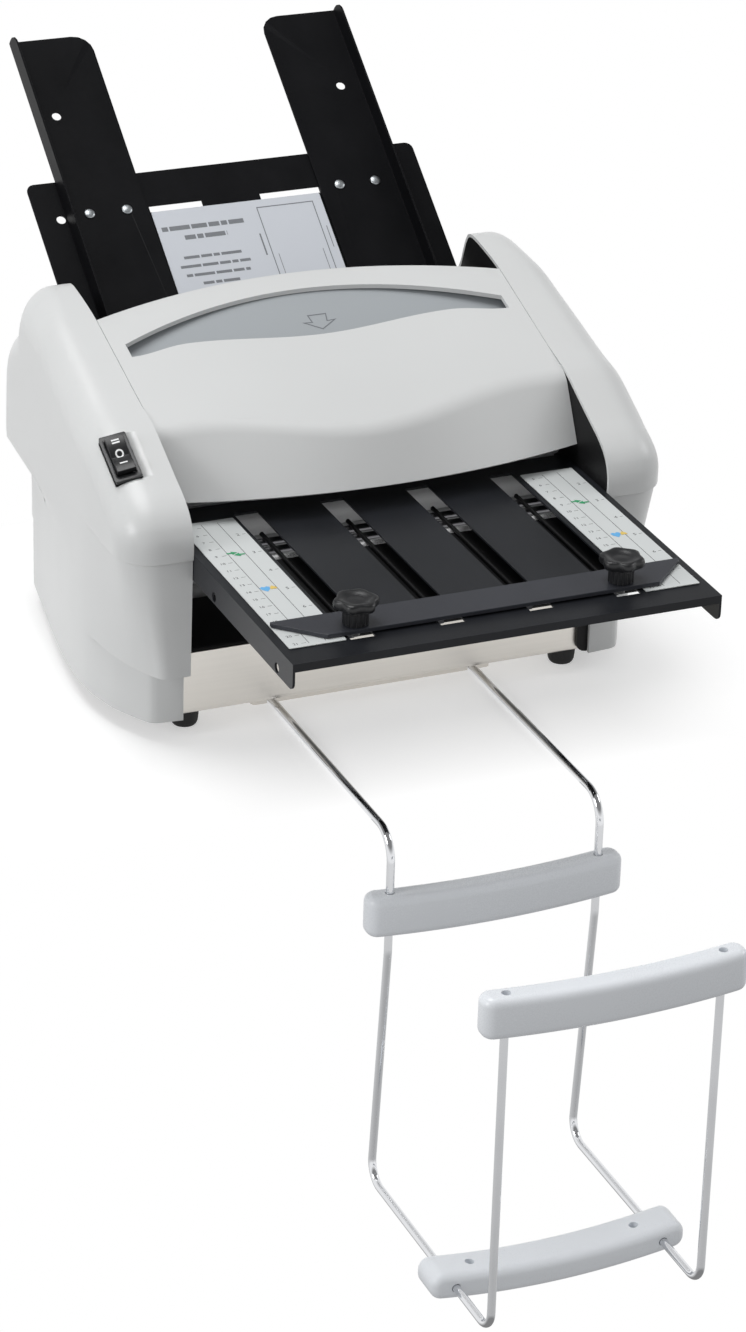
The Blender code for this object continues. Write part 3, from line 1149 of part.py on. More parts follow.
# ------------------------------------------------------------------ separator
slab("separator_pad", rectangle(-PAD_HALF, PAD_HALF, WHEEL_FOOT - PAD_HALF_L,
                                WHEEL_FOOT + PAD_HALF_L), -PAD_T, 0.0, RUBBER, FEED)
pad_low = -PAD_T - GAP
coil = []
per_turn = 8
mean_r = SPRING_R - SPRING_WIRE_R
rise_l = SPRING_L - 2 * SPRING_WIRE_R
for i in range(SPRING_TURNS * per_turn + 1):
    a = 2 * pi * i / per_turn
    coil.append((mean_r * cos(a), mean_r * sin(a),
                 pad_low - SPRING_WIRE_R - rise_l * i / (SPRING_TURNS * per_turn)))
tube("separator_spring", coil, SPRING_WIRE_R, STEEL, 0,
     FEED @ Matrix.Translation((0, WHEEL_FOOT, 0)))
infeed_guide = box("infeed_guide", (-HOOD_HALF, -GUIDE_PLATE_FRONT, GUIDE_PLATE_Z - THIN),
                   (HOOD_HALF, GUIDE_PLATE_REAR, GUIDE_PLATE_Z), STEEL)
shelf = -PAD_T - GAP * 2 - SPRING_L
to_feed = FEED.inverted()
hook_top = to_feed @ Vector((0, GUIDE_PLATE_REAR - THIN, GUIDE_PLATE_Z - THIN / 2))
shelf_line = [(hook_top.y, hook_top.z), (hook_top.y, shelf),
              (WHEEL_FOOT + PAD_HALF_L, shelf)]
shelf_frame = place(FEED_DIR, FEED_NORMAL, (1, 0, 0), (0, 0, FEED_Z))
join(infeed_guide, slab("spring_shelf", bent(shelf_line, -THIN), -PAD_HALF, PAD_HALF, None,
                        shelf_frame, collection=CUTTERS))

# ------------------------------------------------------------------ motor and belt
motor_face = -CLEAR_HALF + GAP
turned("motor", [(0.0, motor_face + MOTOR_L), (MOTOR_R * 0.9, motor_face + MOTOR_L),
                 (MOTOR_R, motor_face + MOTOR_L * 0.96), (MOTOR_R, motor_face),
                 (MOTOR_SHAFT_R * 2, motor_face), (MOTOR_SHAFT_R * 2, motor_face + GAP * 4),
                 (0.0, motor_face + GAP * 4)], BLUE_GREY, axis_frame(MOTOR_Y, MOTOR_Z), 24)


def pulley_profile(radius):
    low, high = -PULLEY_X - PULLEY_T, -PULLEY_X
    return [(radius + PULLEY_RIM, high), (radius + PULLEY_RIM, high - PULLEY_RIM * 0.6),
            (radius, high - PULLEY_RIM), (radius, low + PULLEY_RIM),
            (radius + PULLEY_RIM, low + PULLEY_RIM * 0.6), (radius + PULLEY_RIM, low)]


low_x = -PULLEY_X - PULLEY_T
turned("drive_pulley", pulley_profile(DRIVE_PULLEY_R)
       + [(JOURNAL_R + GAP, low_x), (JOURNAL_R + GAP, -PULLEY_X)], STEEL,
       axis_frame(ROLLER_Y, ROLLER_Z[1]), 20)
turned("motor_pulley", [(0.0, motor_face + GAP * 2), (MOTOR_SHAFT_R, motor_face + GAP * 2),
                        (MOTOR_SHAFT_R, -PULLEY_X)] + pulley_profile(MOTOR_PULLEY_R)
       + [(0.0, low_x)], STEEL, axis_frame(MOTOR_Y, MOTOR_Z), 16)


def belt_ring(r0, r1, gap, count=10):
    """Line round two circles, one gap outside them."""
    c0, c1 = Vector((MOTOR_Y, MOTOR_Z)), Vector((ROLLER_Y, ROLLER_Z[1]))
    line = c1 - c0
    way, tilt = atan2(line.y, line.x), acos((r0 - r1) / line.length)
    ring = []
    for centre, r, start, sweep in ((c1, r1 + gap, way - tilt, 2 * tilt),
                                    (c0, r0 + gap, way + tilt, 2 * (pi - tilt))):
        for i in range(count + 1):
            a = start + sweep * i / count
            ring.append((centre.x + r * cos(a), centre.y + r * sin(a)))
    return ring


slab("drive_belt", belt_ring(MOTOR_PULLEY_R, DRIVE_PULLEY_R, GAP + BELT_T),
     low_x + PULLEY_RIM + GAP, -PULLEY_X - PULLEY_RIM - GAP, RUBBER, ALONG_X,
     [belt_ring(MOTOR_PULLEY_R, DRIVE_PULLEY_R, GAP)])

# ------------------------------------------------------------------ rear fold plate
second_nip = (ROLLER_Y, (ROLLER_Z[1] + ROLLER_Z[2]) / 2)
PLATE_DIR = Vector((0.0, cos(PLATE_ANGLE), sin(PLATE_ANGLE)))
PLATE_NORMAL = Vector((0.0, -sin(PLATE_ANGLE), cos(PLATE_ANGLE)))
PLATE = place((1, 0, 0), PLATE_DIR, PLATE_NORMAL, (0, *second_nip))
PLATE_SIDE = place(PLATE_DIR, PLATE_NORMAL, (1, 0, 0), (0, *second_nip))
half_gap = PLATE_GAP / 2
plate_line = [(PLATE_START, half_gap), (PLATE_END, half_gap), (PLATE_END, -half_gap),
              (PLATE_START, -half_gap)]
rear_plate = slab("rear_fold_plate", bent(plate_line, THIN), -HOOD_HALF, HOOD_HALF,
                  BLACK_SHEET, PLATE_SIDE)
for n, x in enumerate((-PLATE_SLOT_X, 0.0, PLATE_SLOT_X)):
    cut(rear_plate, box("plate_slot_%d" % n,
                        (x - PLATE_SLOT_W / 2, PLATE_START + PLATE_SLOT_MARGIN, 0.0),
                        (x + PLATE_SLOT_W / 2, PLATE_END - PLATE_SLOT_MARGIN, OVERRUN * 2),
                        None, PLATE, CUTTERS))
stop_low = half_gap + THIN + GAP
rear_stop = slab("rear_stop_bar",
                 rounded(rectangle(-REAR_STOP_HALF, REAR_STOP_HALF, REAR_STOP_AT - REAR_STOP_W / 2,
                                   REAR_STOP_AT + REAR_STOP_W / 2), REAR_STOP_T, 2),
                 stop_low, stop_low + REAR_STOP_T, BLACK, PLATE,
                 [circle((0.0, REAR_STOP_AT), KNOB_SHANK_R + GAP, 12)])
for n, x in enumerate((-PLATE_SLOT_X, PLATE_SLOT_X)):
    join(rear_stop, box("rear_finger_%d" % n,
                        (x - REAR_FINGER_W / 2, REAR_STOP_AT - REAR_FINGER_W / 2,
                         -half_gap + GAP * 2),
                        (x + REAR_FINGER_W / 2, REAR_STOP_AT + REAR_FINGER_W / 2,
                         stop_low + REAR_STOP_T / 2), None, PLATE, CUTTERS))
knob("rear_stop_knob", PLATE @ Matrix.Translation((0, REAR_STOP_AT, stop_low + REAR_STOP_T + GAP)))

# ------------------------------------------------------------------ stacker
def arc_points(before, corner, after, radius, count=5):
    """Points of a round bend at a corner of the wire, in the Y,Z plane."""
    p = Vector(corner)
    a, b = (Vector(before) - p).normalized(), (Vector(after) - p).normalized()
    half = a.angle(b) / 2
    centre = p + (a + b).normalized() * (radius / sin(half))
    start, end = p + a * (radius / tan(half)) - centre, p + b * (radius / tan(half)) - centre
    sweep = start.angle(end)
    points = []
    for k in range(count + 1):
        t = k / count
        points.append(tuple(centre + (start * sin((1 - t) * sweep) + end * sin(t * sweep))
                            / sin(sweep)))
    return points


corners = [(-WIRE_REAR, WIRE_Z), (-WIRE_EDGE, WIRE_Z), (-WIRE_EDGE, BAR_TOP_Z - BAR_W),
           (-WIRE_LOW_Y, WIRE_LOW_Z), (-WIRE_FAR, WIRE_LOW_Z), (-WIRE_FAR, WIRE_END_Z)]
wire_bends = [WIRE_BEND, WIRE_BEND * 3, WIRE_LOW_BEND, WIRE_LOW_BEND]
wire_path = [corners[0]]
for n, r in enumerate(wire_bends):
    wire_path += arc_points(corners[n], corners[n + 1], corners[n + 2], r, 5 if n != 1 else 2)
wire_path.append(corners[-1])
for side, label in ((-1, "left"), (1, "right")):
    tube("catcher_wire_" + label, [(side * WIRE_X, y, z) for y, z in wire_path], WIRE_R,
         CHROME, 2)


def bar(name, frame):
    """Bowed bar: local x along it, y against the bow, z along the wires."""
    sag = BAR_BOW * (WIRE_X / BAR_HALF) ** 2
    outer, inner = [], []
    stations = [-1.0 + i / 5 for i in range(11)]
    for share in stations:
        x, y = share * BAR_HALF, BAR_BOW * share ** 2 - sag
        outer.append((x, y - BAR_T / 2))
        inner.append((x, y + BAR_T / 2))
    ring = outer + inner[::-1]
    radii = [0.0] * len(ring)
    for i in (0, len(outer) - 1, len(outer), len(ring) - 1):
        radii[i] = BAR_CORNER
    obj = slab(name, rounded(ring, radii, 3), -BAR_W / 2, BAR_W / 2, BAR_GREY, frame)
    bevel(obj, BAR_ROUND, 1, radians(60))
    for n, side in enumerate((-1, 1)):
        cut(obj, rod("%s_bore_%d" % (name, n), WIRE_R + GAP, -BAR_W / 2 - OVERRUN,
                     BAR_W / 2 + OVERRUN, None,
                     frame @ Matrix.Translation((side * WIRE_X, 0, 0)), 12, CUTTERS))
        hole_y = BAR_BOW * (BAR_HOLE_X / BAR_HALF) ** 2 - sag + BAR_T / 2
        turn = place((1, 0, 0), (0, 0, -1), (0, 1, 0), (side * BAR_HOLE_X, hole_y, 0))
        cut(obj, rod("%s_hole_%d" % (name, n), BAR_HOLE_R, -BAR_HOLE_D, OVERRUN, None,
                     frame @ turn, 8, CUTTERS))
    return obj


bar("catcher_bar_top", Matrix.Translation((0, -WIRE_EDGE, BAR_TOP_Z)))
bar("catcher_bar_front", Matrix.Translation((0, -WIRE_FAR, BAR_FAR_Z)))
bar("catcher_bar_bottom", place((1, 0, 0), (0, 0, 1), (0, -1, 0),
                                (0, -BAR_LOW_Y, WIRE_LOW_Z)))

# bracket under the pan that holds the wires
socket = slab("wire_socket",
              rounded(rectangle(-SOCKET_HALF, SOCKET_HALF, -SOCKET_FRONT, -SOCKET_REAR),
                      SHEET * 2, 2), SOCKET_Z, FOOT_H + GAP + SHEET / 2, None,
              collection=CUTTERS)
join(base_pan, socket)
for side in (-1, 1):
    cut(base_pan, rod("socket_bore", WIRE_R + GAP, SOCKET_REAR - OVERRUN, SOCKET_FRONT + OVERRUN,
                    None, ALONG_Y @ Matrix.Translation((side * WIRE_X, WIRE_Z, 0)), 16, CUTTERS))
    cut(base_pan, box("socket_slit", (side * WIRE_X - WIRE_R - GAP, -SOCKET_FRONT - OVERRUN,
                                    SOCKET_Z - OVERRUN),
                    (side * WIRE_X + WIRE_R + GAP, -SOCKET_REAR + OVERRUN, WIRE_Z), None,
                    collection=CUTTERS))
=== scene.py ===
# %% [markdown]
# # Dressing a table-top paper folding machine
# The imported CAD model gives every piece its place.  This script lays the looks over it: it
# keeps the flat sheet-metal nodes and gives them a finish, and it rebuilds the moulded covers,
# the hood, knobs, wires and bars with finer curves in the same space.  All sizes are in metres.

import json
from math import acos, atan2, cos, hypot, pi, radians, sin, sqrt, tan

import bmesh
import bpy
from mathutils import Matrix, Vector


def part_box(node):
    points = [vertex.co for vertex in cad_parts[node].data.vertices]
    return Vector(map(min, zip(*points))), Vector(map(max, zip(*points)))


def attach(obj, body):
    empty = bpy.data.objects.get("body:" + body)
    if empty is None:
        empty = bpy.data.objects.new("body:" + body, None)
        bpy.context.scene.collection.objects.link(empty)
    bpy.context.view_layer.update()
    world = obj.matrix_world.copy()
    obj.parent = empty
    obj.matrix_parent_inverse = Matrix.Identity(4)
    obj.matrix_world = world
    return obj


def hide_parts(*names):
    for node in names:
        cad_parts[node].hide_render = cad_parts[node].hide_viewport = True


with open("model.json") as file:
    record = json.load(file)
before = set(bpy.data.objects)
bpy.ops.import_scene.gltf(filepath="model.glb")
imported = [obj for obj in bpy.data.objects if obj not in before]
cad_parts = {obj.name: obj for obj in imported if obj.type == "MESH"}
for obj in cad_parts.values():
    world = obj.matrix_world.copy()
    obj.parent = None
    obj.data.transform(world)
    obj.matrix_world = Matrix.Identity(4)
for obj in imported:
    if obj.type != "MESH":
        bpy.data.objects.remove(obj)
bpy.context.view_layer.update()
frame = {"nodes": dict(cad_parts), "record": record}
BODY_OF = {node: body for body, nodes in frame["record"]["behaviour"]["bodies"].items()
           for node in nodes}
MM = 0.001

# %% [markdown]
# ## Shader maths as plain sums
# A finish is mostly arithmetic on noise: a little more roughness here, a darker tone there.
# Wrapping a socket in a small class lets that be written as a sum, and each sum adds its Math
# node.  Every other node comes from one method, so a finish below reads like its recipe.

# %% Sockets that can be added and multiplied
SOCKETS = {"base_color": "Base Color", "specular": "Specular IOR Level"}


class Wire:
    """One output socket of a finish.  Arithmetic on it adds Math nodes."""

    def __init__(self, finish, socket):
        self.finish, self.socket = finish, socket

    def _sum(self, operation, first, second):
        return self.finish.node("ShaderNodeMath", {"operation": operation}, {0: first, 1: second})

    def __add__(self, other):
        return self._sum('ADD', self, other)

    def __sub__(self, other):
        return self._sum('SUBTRACT', self, other)

    def __rsub__(self, other):
        return self._sum('SUBTRACT', other, self)

    def __mul__(self, other):
        return self._sum('MULTIPLY', self, other)

    def __truediv__(self, other):
        return self._sum('DIVIDE', self, other)

    __radd__, __rmul__ = __add__, __mul__


class Finish:
    """A material under construction, with one Principled shader."""

    def __init__(self, name, **sockets):
        self.material = bpy.data.materials.new(name)
        self.material.use_nodes = True
        self.tree = self.material.node_tree
        self.shader = self.tree.nodes["Principled BSDF"]
        for key, value in sockets.items():
            self.shader.inputs[SOCKETS.get(key, key.title())].default_value = value

    def node(self, kind, settings=None, inputs=None, out=0):
        made = self.tree.nodes.new(kind)
        for key, value in (settings or {}).items():
            setattr(made, key, value)
        for key, value in (inputs or {}).items():
            self.feed(made.inputs[key], value)
        return Wire(self, made.outputs[out])

    def feed(self, socket, value):
        if isinstance(value, Wire):
            self.tree.links.new(value.socket, socket)
        else:
            socket.default_value = value

    def wear(self, **sockets):
        for key, value in sockets.items():
            self.feed(self.shader.inputs[SOCKETS.get(key, key.title())], value)
        return self.material

    def noise(self, scale, detail=2.0, stretch=(1, 1, 1)):
        place = self.node("ShaderNodeTexCoord", out="Object")
        place = self.node("ShaderNodeMapping", inputs={"Vector": place, "Scale": stretch})
        return self.node("ShaderNodeTexNoise", inputs={"Vector": place, "Scale": scale,
                                                       "Detail": detail})

    def between(self, share, dark, light):
        return self.node("ShaderNodeMix", {"data_type": 'RGBA', "clamp_factor": True},
                         {0: share, 6: (*dark, 1.0), 7: (*light, 1.0)}, out=2)

    def clamp(self, wire, low, high):
        """0 below low, 1 above high, a straight rise between."""
        return self.node("ShaderNodeMapRange", inputs={"Value": wire, "From Min": low,
                                                       "From Max": high})

    def bump(self, height, depth, strength=1.0):
        return self.node("ShaderNodeBump", inputs={"Height": height, "Distance": depth,
                                                   "Strength": strength})


# %% [markdown]
# ## Moulded plastic
# The covers and the hood are sprayed or moulded in an off-white with a very fine spark-eroded
# grain.  A photograph texture could do it, but noise in object space has the right scale on
# every face and needs no unwrapping.  A slow cloud shifts the tone by one or two per cent.

# %% Moulded plastics
def moulded(name, colour, roughness, grain=0.00003, spread=0.03):
    f = Finish(name)
    cloud, fine = f.noise(7.0, 3.0), f.noise(1500.0, 2.0)
    dark = [c * (1 - spread) for c in colour]
    light = [min(1.0, c * (1 + spread)) for c in colour]
    return f.wear(base_color=f.between(cloud * 1.6 - 0.3, dark, light),
                  roughness=cloud * 0.10 + fine * 0.08 + (roughness - 0.09),
                  normal=f.bump(fine, grain, 0.35))


PALE = moulded("pale_cover_plastic", (0.655, 0.665, 0.665), 0.34)
# The pocket guide's darker grey is partly the guide's own colour and partly painted shade of the
# recess under the hood.
POCKET_GREY = moulded("pocket_guide_plastic_and_shade", (0.36, 0.385, 0.405), 0.45)
BAR_GREY = moulded("stacker_bar_plastic", (0.87, 0.90, 0.94), 0.28, 0.000004)
BLACK_PLASTIC = moulded("black_knob_plastic", (0.010, 0.0105, 0.012), 0.36, 0.00005, 0.1)
NYLON = moulded("gear_nylon", (0.78, 0.76, 0.70), 0.45)
PRINT_FILM = moulded("printed_film", (0.62, 0.645, 0.645), 0.42, 0.00001, 0.03)
LABEL_FILM = moulded("label_film", (0.56, 0.585, 0.63), 0.40, 0.00001, 0.015)
print("plastics and films:", len(bpy.data.materials))

# %% [markdown]
# ## Black powder coat
# Trays, side guides and side frames are steel sheet with a satin black powder coat.  Powder
# melts into tiny hills, so the bump is a fine noise, and dust and handling leave a faint grey
# bloom, which is a broader noise that lifts the colour and the roughness together.

# %% Powder-coated sheet
def powder_coat(name, colour, bloom, roughness=0.40, gloss=0.35):
    f = Finish(name, specular=gloss)
    hills, cloud, streak = f.noise(2200.0, 2.0), f.noise(11.0, 4.0), f.noise(60.0, 3.0, (1, 0.15,
                                                                                         1))
    dust = f.clamp(cloud * 0.6 + streak * 0.4, 0.35, 0.75)
    speck = f.clamp(hills, 0.55, 0.8)
    shade = f.between(dust * 0.6 + speck * 0.35, colour, bloom)
    return f.wear(base_color=shade, roughness=dust * 0.10 + hills * 0.10 + (roughness - 0.10),
                  normal=f.bump(hills, 0.00006, 0.6))


BLACK_SHEET = powder_coat("black_powder_coat", (0.0035, 0.0037, 0.0045), (0.010, 0.010, 0.0115),
                          0.44, 0.08)
TRAY_BLACK = powder_coat("tray_powder_coat", (0.011, 0.012, 0.0145), (0.026, 0.028, 0.034), 0.37,
                         0.22)
STOP_GREY = powder_coat("stop_bar_powder_coat", (0.030, 0.032, 0.040), (0.052, 0.055, 0.066),
                        0.36, 0.35)
INNER_BLACK = powder_coat("inner_powder_coat", (0.005, 0.005, 0.0055), (0.014, 0.014, 0.015), 0.5,
                          0.2)
MOTOR_PAINT = powder_coat("motor_paint", (0.05, 0.065, 0.085), (0.10, 0.12, 0.15), 0.45)

# %% [markdown]
# ## Steel, chrome and rubber
# Bare sheet shows the rolling direction as long faint streaks.  Stretching the noise along X
# gives them.  The wires are bright chrome, a mirror with only a trace of haze, and rubber is
# nearly black and dull, the rollers a little lighter from paper dust.

# %% Metals
def streaked_steel(name, colour, roughness, stretch):
    f = Finish(name, metallic=1.0)
    streak, cloud = f.noise(420.0, 3.0, stretch), f.noise(9.0, 3.0)
    dark = [c * 0.86 for c in colour]
    return f.wear(base_color=f.between(streak * 0.7 + cloud * 0.5 - 0.1, dark, colour),
                  roughness=streak * 0.12 + cloud * 0.10 + (roughness - 0.11),
                  normal=f.bump(streak, 0.00002, 0.4))


def chrome(name, roughness):
    f = Finish(name, metallic=1.0)
    haze = f.noise(30.0, 3.0)
    return f.wear(base_color=f.between(haze, (0.70, 0.71, 0.73), (0.82, 0.83, 0.85)),
                  roughness=haze * 0.06 + roughness)


PANEL_STEEL = streaked_steel("bare_panel_steel", (0.78, 0.75, 0.70), 0.34, (0.03, 1, 1))
TURNED_STEEL = streaked_steel("turned_steel", (0.62, 0.61, 0.60), 0.30, (1, 0.1, 0.1))
RIVET_STEEL = streaked_steel("rivet_zinc", (0.50, 0.53, 0.55), 0.38, (1, 1, 1))
CHROME = chrome("bright_chrome", 0.05)
# The three guide rods under the fold tray are one kind of rod: the two rear ones get a dark copy of
# the finish as painted shade, the front one a light copy as a painted highlight.
SHADED_ROD = streaked_steel("rod_steel_painted_shade", (0.20, 0.20, 0.21), 0.32, (1, 0.1, 0.1))
LIT_ROD = moulded("rod_painted_highlight", (0.86, 0.86, 0.87), 0.28)
LIT_ROD.node_tree.nodes["Principled BSDF"].inputs["Metallic"].default_value = 0.45


# %% Rubbers
def rubber(name, colour, dust, roughness, stretch=(1, 1, 1)):
    f = Finish(name)
    fine, cloud = f.noise(900.0, 3.0, stretch), f.noise(25.0, 3.0, stretch)
    return f.wear(base_color=f.between(cloud * 0.7 + fine * 0.4 - 0.1, colour, dust),
                  roughness=fine * 0.15 + (roughness - 0.07),
                  normal=f.bump(fine, 0.00008, 0.5))


FOOT_RUBBER = rubber("foot_rubber", (0.010, 0.010, 0.011), (0.03, 0.03, 0.03), 0.75)
ROLLER_RUBBER = rubber("roller_rubber", (0.50, 0.505, 0.51), (0.66, 0.665, 0.67), 0.42, (0.25, 1,
                                                                                         1))

# %% Printing inks
def ink(name, colour, roughness=0.5):
    f = Finish(name)
    patch = f.noise(700.0, 2.0)
    return f.wear(base_color=f.between(patch, colour, [c * 1.15 + 0.006 for c in colour]),
                  roughness=patch * 0.1 + (roughness - 0.05))


INK_BLACK = ink("ink_black", (0.03, 0.032, 0.035))
INK_GREY = ink("ink_grey", (0.16, 0.17, 0.185))
INK_GREEN = ink("ink_green", (0.02, 0.30, 0.12))
INK_BLUE = ink("ink_blue", (0.12, 0.40, 0.72))
INK_YELLOW = ink("ink_yellow", (0.70, 0.50, 0.12))
INK_WHITE = ink("ink_white", (0.80, 0.81, 0.81))
print("finishes:", len(bpy.data.materials))

# %% [markdown]
# ## Helpers for pieces
# A piece is a mesh with a finish that rides on a CAD body.  Where it stands for a CAD node,
# that node is hidden.  Directions are written once as matrices: ALONG_X draws an outline in
# the Y,Z plane and pushes it along X, and so on.

# %% Making a piece
def place(right, up, normal, origin=(0, 0, 0)):
    m = Matrix((right, up, normal)).transposed().to_4x4()
    m.translation = Vector(origin)
    return m


ALONG_X = place((0, 1, 0), (0, 0, 1), (1, 0, 0))
ALONG_Y = place((1, 0, 0), (0, 0, 1), (0, -1, 0))
ALONG_Z = Matrix.Identity(4)


def loose(name, bm, matrix=ALONG_Z, sharp=32):
    """A mesh object that rides on nothing yet."""
    bmesh.ops.recalc_face_normals(bm, faces=bm.faces)
    mesh = bpy.data.meshes.new(name)
    bm.to_mesh(mesh)
    bm.free()
    mesh.transform(matrix)
    mesh.shade_smooth()
    mesh.set_sharp_from_angle(angle=radians(sharp))
    obj = bpy.data.objects.new(name, mesh)
    bpy.context.scene.collection.objects.link(obj)
    return obj


def settle(obj):
    """Apply the modifiers of a loose object."""
    graph = bpy.context.evaluated_depsgraph_get()
    graph.update()
    mesh = bpy.data.meshes.new_from_object(obj.evaluated_get(graph))
    obj.modifiers.clear()
    obj.data = mesh
    return obj


def carve(obj, *tools):
    for tool in tools:
        mod = obj.modifiers.new("carve", 'BOOLEAN')
        mod.operation, mod.solver, mod.object = 'DIFFERENCE', 'MANIFOLD', tool
    settle(obj)
    for tool in tools:
        bpy.data.objects.remove(tool, do_unlink=True)
    return obj


def bevelled(obj, width, segments=3, angle=40):
    mod = obj.modifiers.new("bevel", 'BEVEL')
    mod.width, mod.segments, mod.limit_method = width, segments, 'ANGLE'
    mod.angle_limit, mod.harden_normals = radians(angle), True
    return settle(obj)


def mounted(obj, finish, node, stands_for=True):
    """Let a finished object ride on the body of a CAD node."""
    obj.data.materials.clear()
    obj.data.materials.append(finish)
    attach(obj, BODY_OF[node])
    if stands_for:
        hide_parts(node)
    return obj


def together(name, objs):
    """Several loose objects as one."""
    bm = bmesh.new()
    for obj in objs:
        obj.data.transform(obj.matrix_world)
        bm.from_mesh(obj.data)
        bpy.data.objects.remove(obj, do_unlink=True)
    return loose(name, bm)


# %% Outlines
def circle(centre, radius, count=48):
    return [(centre[0] + radius * cos(2 * pi * i / count),
             centre[1] + radius * sin(2 * pi * i / count)) for i in range(count)]


def rectangle(x0, x1, y0, y1):
    return [(x0, y0), (x1, y0), (x1, y1), (x0, y1)]


def rounded(points, radii, steps=8):
    """Closed outline whose corners are replaced by arcs of the given radii."""
    ring, count = [], len(points)
    for i, point in enumerate(points):
        radius = radii[i] if isinstance(radii, (list, tuple)) else radii
        p = Vector(point)
        if radius <= 0.0:
            ring.append(tuple(p))
            continue
        a = (Vector(points[i - 1]) - p).normalized()
        b = (Vector(points[(i + 1) % count]) - p).normalized()
        half = acos(max(-1.0, min(1.0, a.dot(b)))) / 2
        centre = p + (a + b).normalized() * (radius / sin(half))
        start = p + a * (radius / tan(half)) - centre
        sweep = start.angle_signed(p + b * (radius / tan(half)) - centre)
        for k in range(steps + 1):
            t = -sweep * k / steps
            ring.append((centre.x + start.x * cos(t) - start.y * sin(t),
                         centre.y + start.x * sin(t) + start.y * cos(t)))
    return ring


def offset_line(points, distance):
    """The open line moved sideways, to its left, by a distance."""
    moved = []
    for i, point in enumerate(points):
        p = Vector(point)
        before = (p - Vector(points[i - 1])).normalized() if i else None
        after = (Vector(points[i + 1]) - p).normalized() if i < len(points) - 1 else None
        before, after = before or after, after or before
        side = Vector((-(before.y + after.y), before.x + after.x)).normalized()
        stretch = 1.0 / max(0.3, side.dot(Vector((-after.y, after.x))))
        moved.append(tuple(p + side * distance * stretch))
    return moved


def flowing(points, parts=4):
    """Catmull-Rom curve through rows of numbers of any length."""
    rows = []
    for i in range(len(points) - 1):
        p0, p1, p2 = points[max(i - 1, 0)], points[i], points[i + 1]
        p3 = points[min(i + 2, len(points) - 1)]
        for k in range(parts):
            t = k / parts
            rows.append(tuple(0.5 * (2 * b + (c - a) * t + (2 * a - 5 * b + 4 * c - d) * t * t
                                     + (3 * b - a - 3 * c + d) * t ** 3)
                              for a, b, c, d in zip(p0, p1, p2, p3)))
    return rows + [tuple(points[-1])]


def smooth_share(t):
    t = max(0.0, min(1.0, t))
    return t * t * (3 - 2 * t)


# %% Solids from outlines
def slab(name, outline, low, high, matrix=ALONG_Z, holes=(), sharp=32):
    """A flat plate with holes, from low to high along the matrix's third axis."""
    curve = bpy.data.curves.new(name, 'CURVE')
    curve.dimensions, curve.fill_mode, curve.extrude = '2D', 'BOTH', (high - low) / 2
    for ring in (outline, *holes):
        spline = curve.splines.new('POLY')
        spline.points.add(len(ring) - 1)
        for point, (x, y) in zip(spline.points, ring):
            point.co = (x, y, 0.0, 1.0)
        spline.use_cyclic_u = True
    return from_curve(name, curve, matrix @ Matrix.Translation((0, 0, (low + high) / 2)), sharp)


def from_curve(name, curve, matrix, sharp=32):
    holder = bpy.data.objects.new(name + "_line", curve)
    bpy.context.scene.collection.objects.link(holder)
    graph = bpy.context.evaluated_depsgraph_get()
    graph.update()
    bm = bmesh.new()
    bm.from_mesh(bpy.data.meshes.new_from_object(holder.evaluated_get(graph)))
    bpy.data.objects.remove(holder, do_unlink=True)
    bmesh.ops.remove_doubles(bm, verts=bm.verts, dist=0.002 * MM)
    return loose(name, bm, matrix, sharp)


def turned(name, profile, matrix, steps=64, sharp=32):
    """Solid of revolution about the matrix's third axis, from (radius, height) pairs."""
    return lathe(name, [(lambda a, r=r: r, h) for r, h in profile], matrix, steps, sharp)


def lathe(name, profile, matrix, steps, sharp=32):
    """As turned, but each radius is a function of the angle."""
    bm = bmesh.new()
    rings = [[bm.verts.new((radius(2 * pi * i / steps) * cos(2 * pi * i / steps),
                            radius(2 * pi * i / steps) * sin(2 * pi * i / steps), h))
              for i in range(steps)] for radius, h in profile]
    for a, b in zip(rings, rings[1:]):
        for i in range(steps):
            bm.faces.new((a[i], a[(i + 1) % steps], b[(i + 1) % steps], b[i]))
    bmesh.ops.remove_doubles(bm, verts=bm.verts, dist=0.001 * MM)
    return loose(name, bm, matrix, sharp)


def tube(name, points, radius, matrix=ALONG_Z, sides=5):
    curve = bpy.data.curves.new(name, 'CURVE')
    curve.dimensions, curve.bevel_depth, curve.bevel_resolution = '3D', radius, sides
    curve.resolution_u, curve.use_fill_caps = 1, True
    spline = curve.splines.new('POLY')
    spline.points.add(len(points) - 1)
    for point, co in zip(spline.points, points):
        point.co = (*co, 1.0)
    return from_curve(name, curve, matrix)


def axis_frame(y, z):
    """Local z along X, origin on a turning axis."""
    return ALONG_X @ Matrix.Translation((y, z, 0))


# %% [markdown]
# ## End covers
# Each cover is one moulding: a tall upper body with a soft rim of 22 mm, a shallow step round
# its front, a ledge, and a narrower foot.  Sculpting would be quick but vague.  Here the
# outline at the inner edge is a list of shares, a smooth curve is drawn through it, and the
# rim is swept outward from it.  Flat cuts give the side enough points to taper, and a
# solidify modifier turns the skin into a 2 mm wall, which shows as a pale rim round the frame.

# %% Sizes of the covers
CLEAR_HALF = 131.5 * MM
COVER_FRONT, COVER_REAR, COVER_TOP, COVER_OUT = 120.0 * MM, 128.0 * MM, 214.0 * MM, 172.8 * MM
COVER_WALL, RIM_R = 2.0 * MM, 22.0 * MM
WIDE_Y, TOP_TAPER, LEDGE_SIDE = -50.0 * MM, 11.0 * MM, 1.0 * MM
REAR_DROP_Z, REAR_DROP = 106.0 * MM, 13.0 * MM
STEP_Z, STEP_IN, STEP_H, STEP_FADE = 122.0 * MM, 1.4 * MM, 1.0 * MM, 70.0 * MM
LEDGE_Z, LEDGE_RISE = 46.5 * MM, 0.06
SKIRT_FRONT, SKIRT_REAR, SKIRT_OUT, FOOT_H = 105.7 * MM, 107.5 * MM, 39.5 * MM, 12.5 * MM
HOOD_Z, HOOD_SLOPE = 193.7 * MM, 0.31
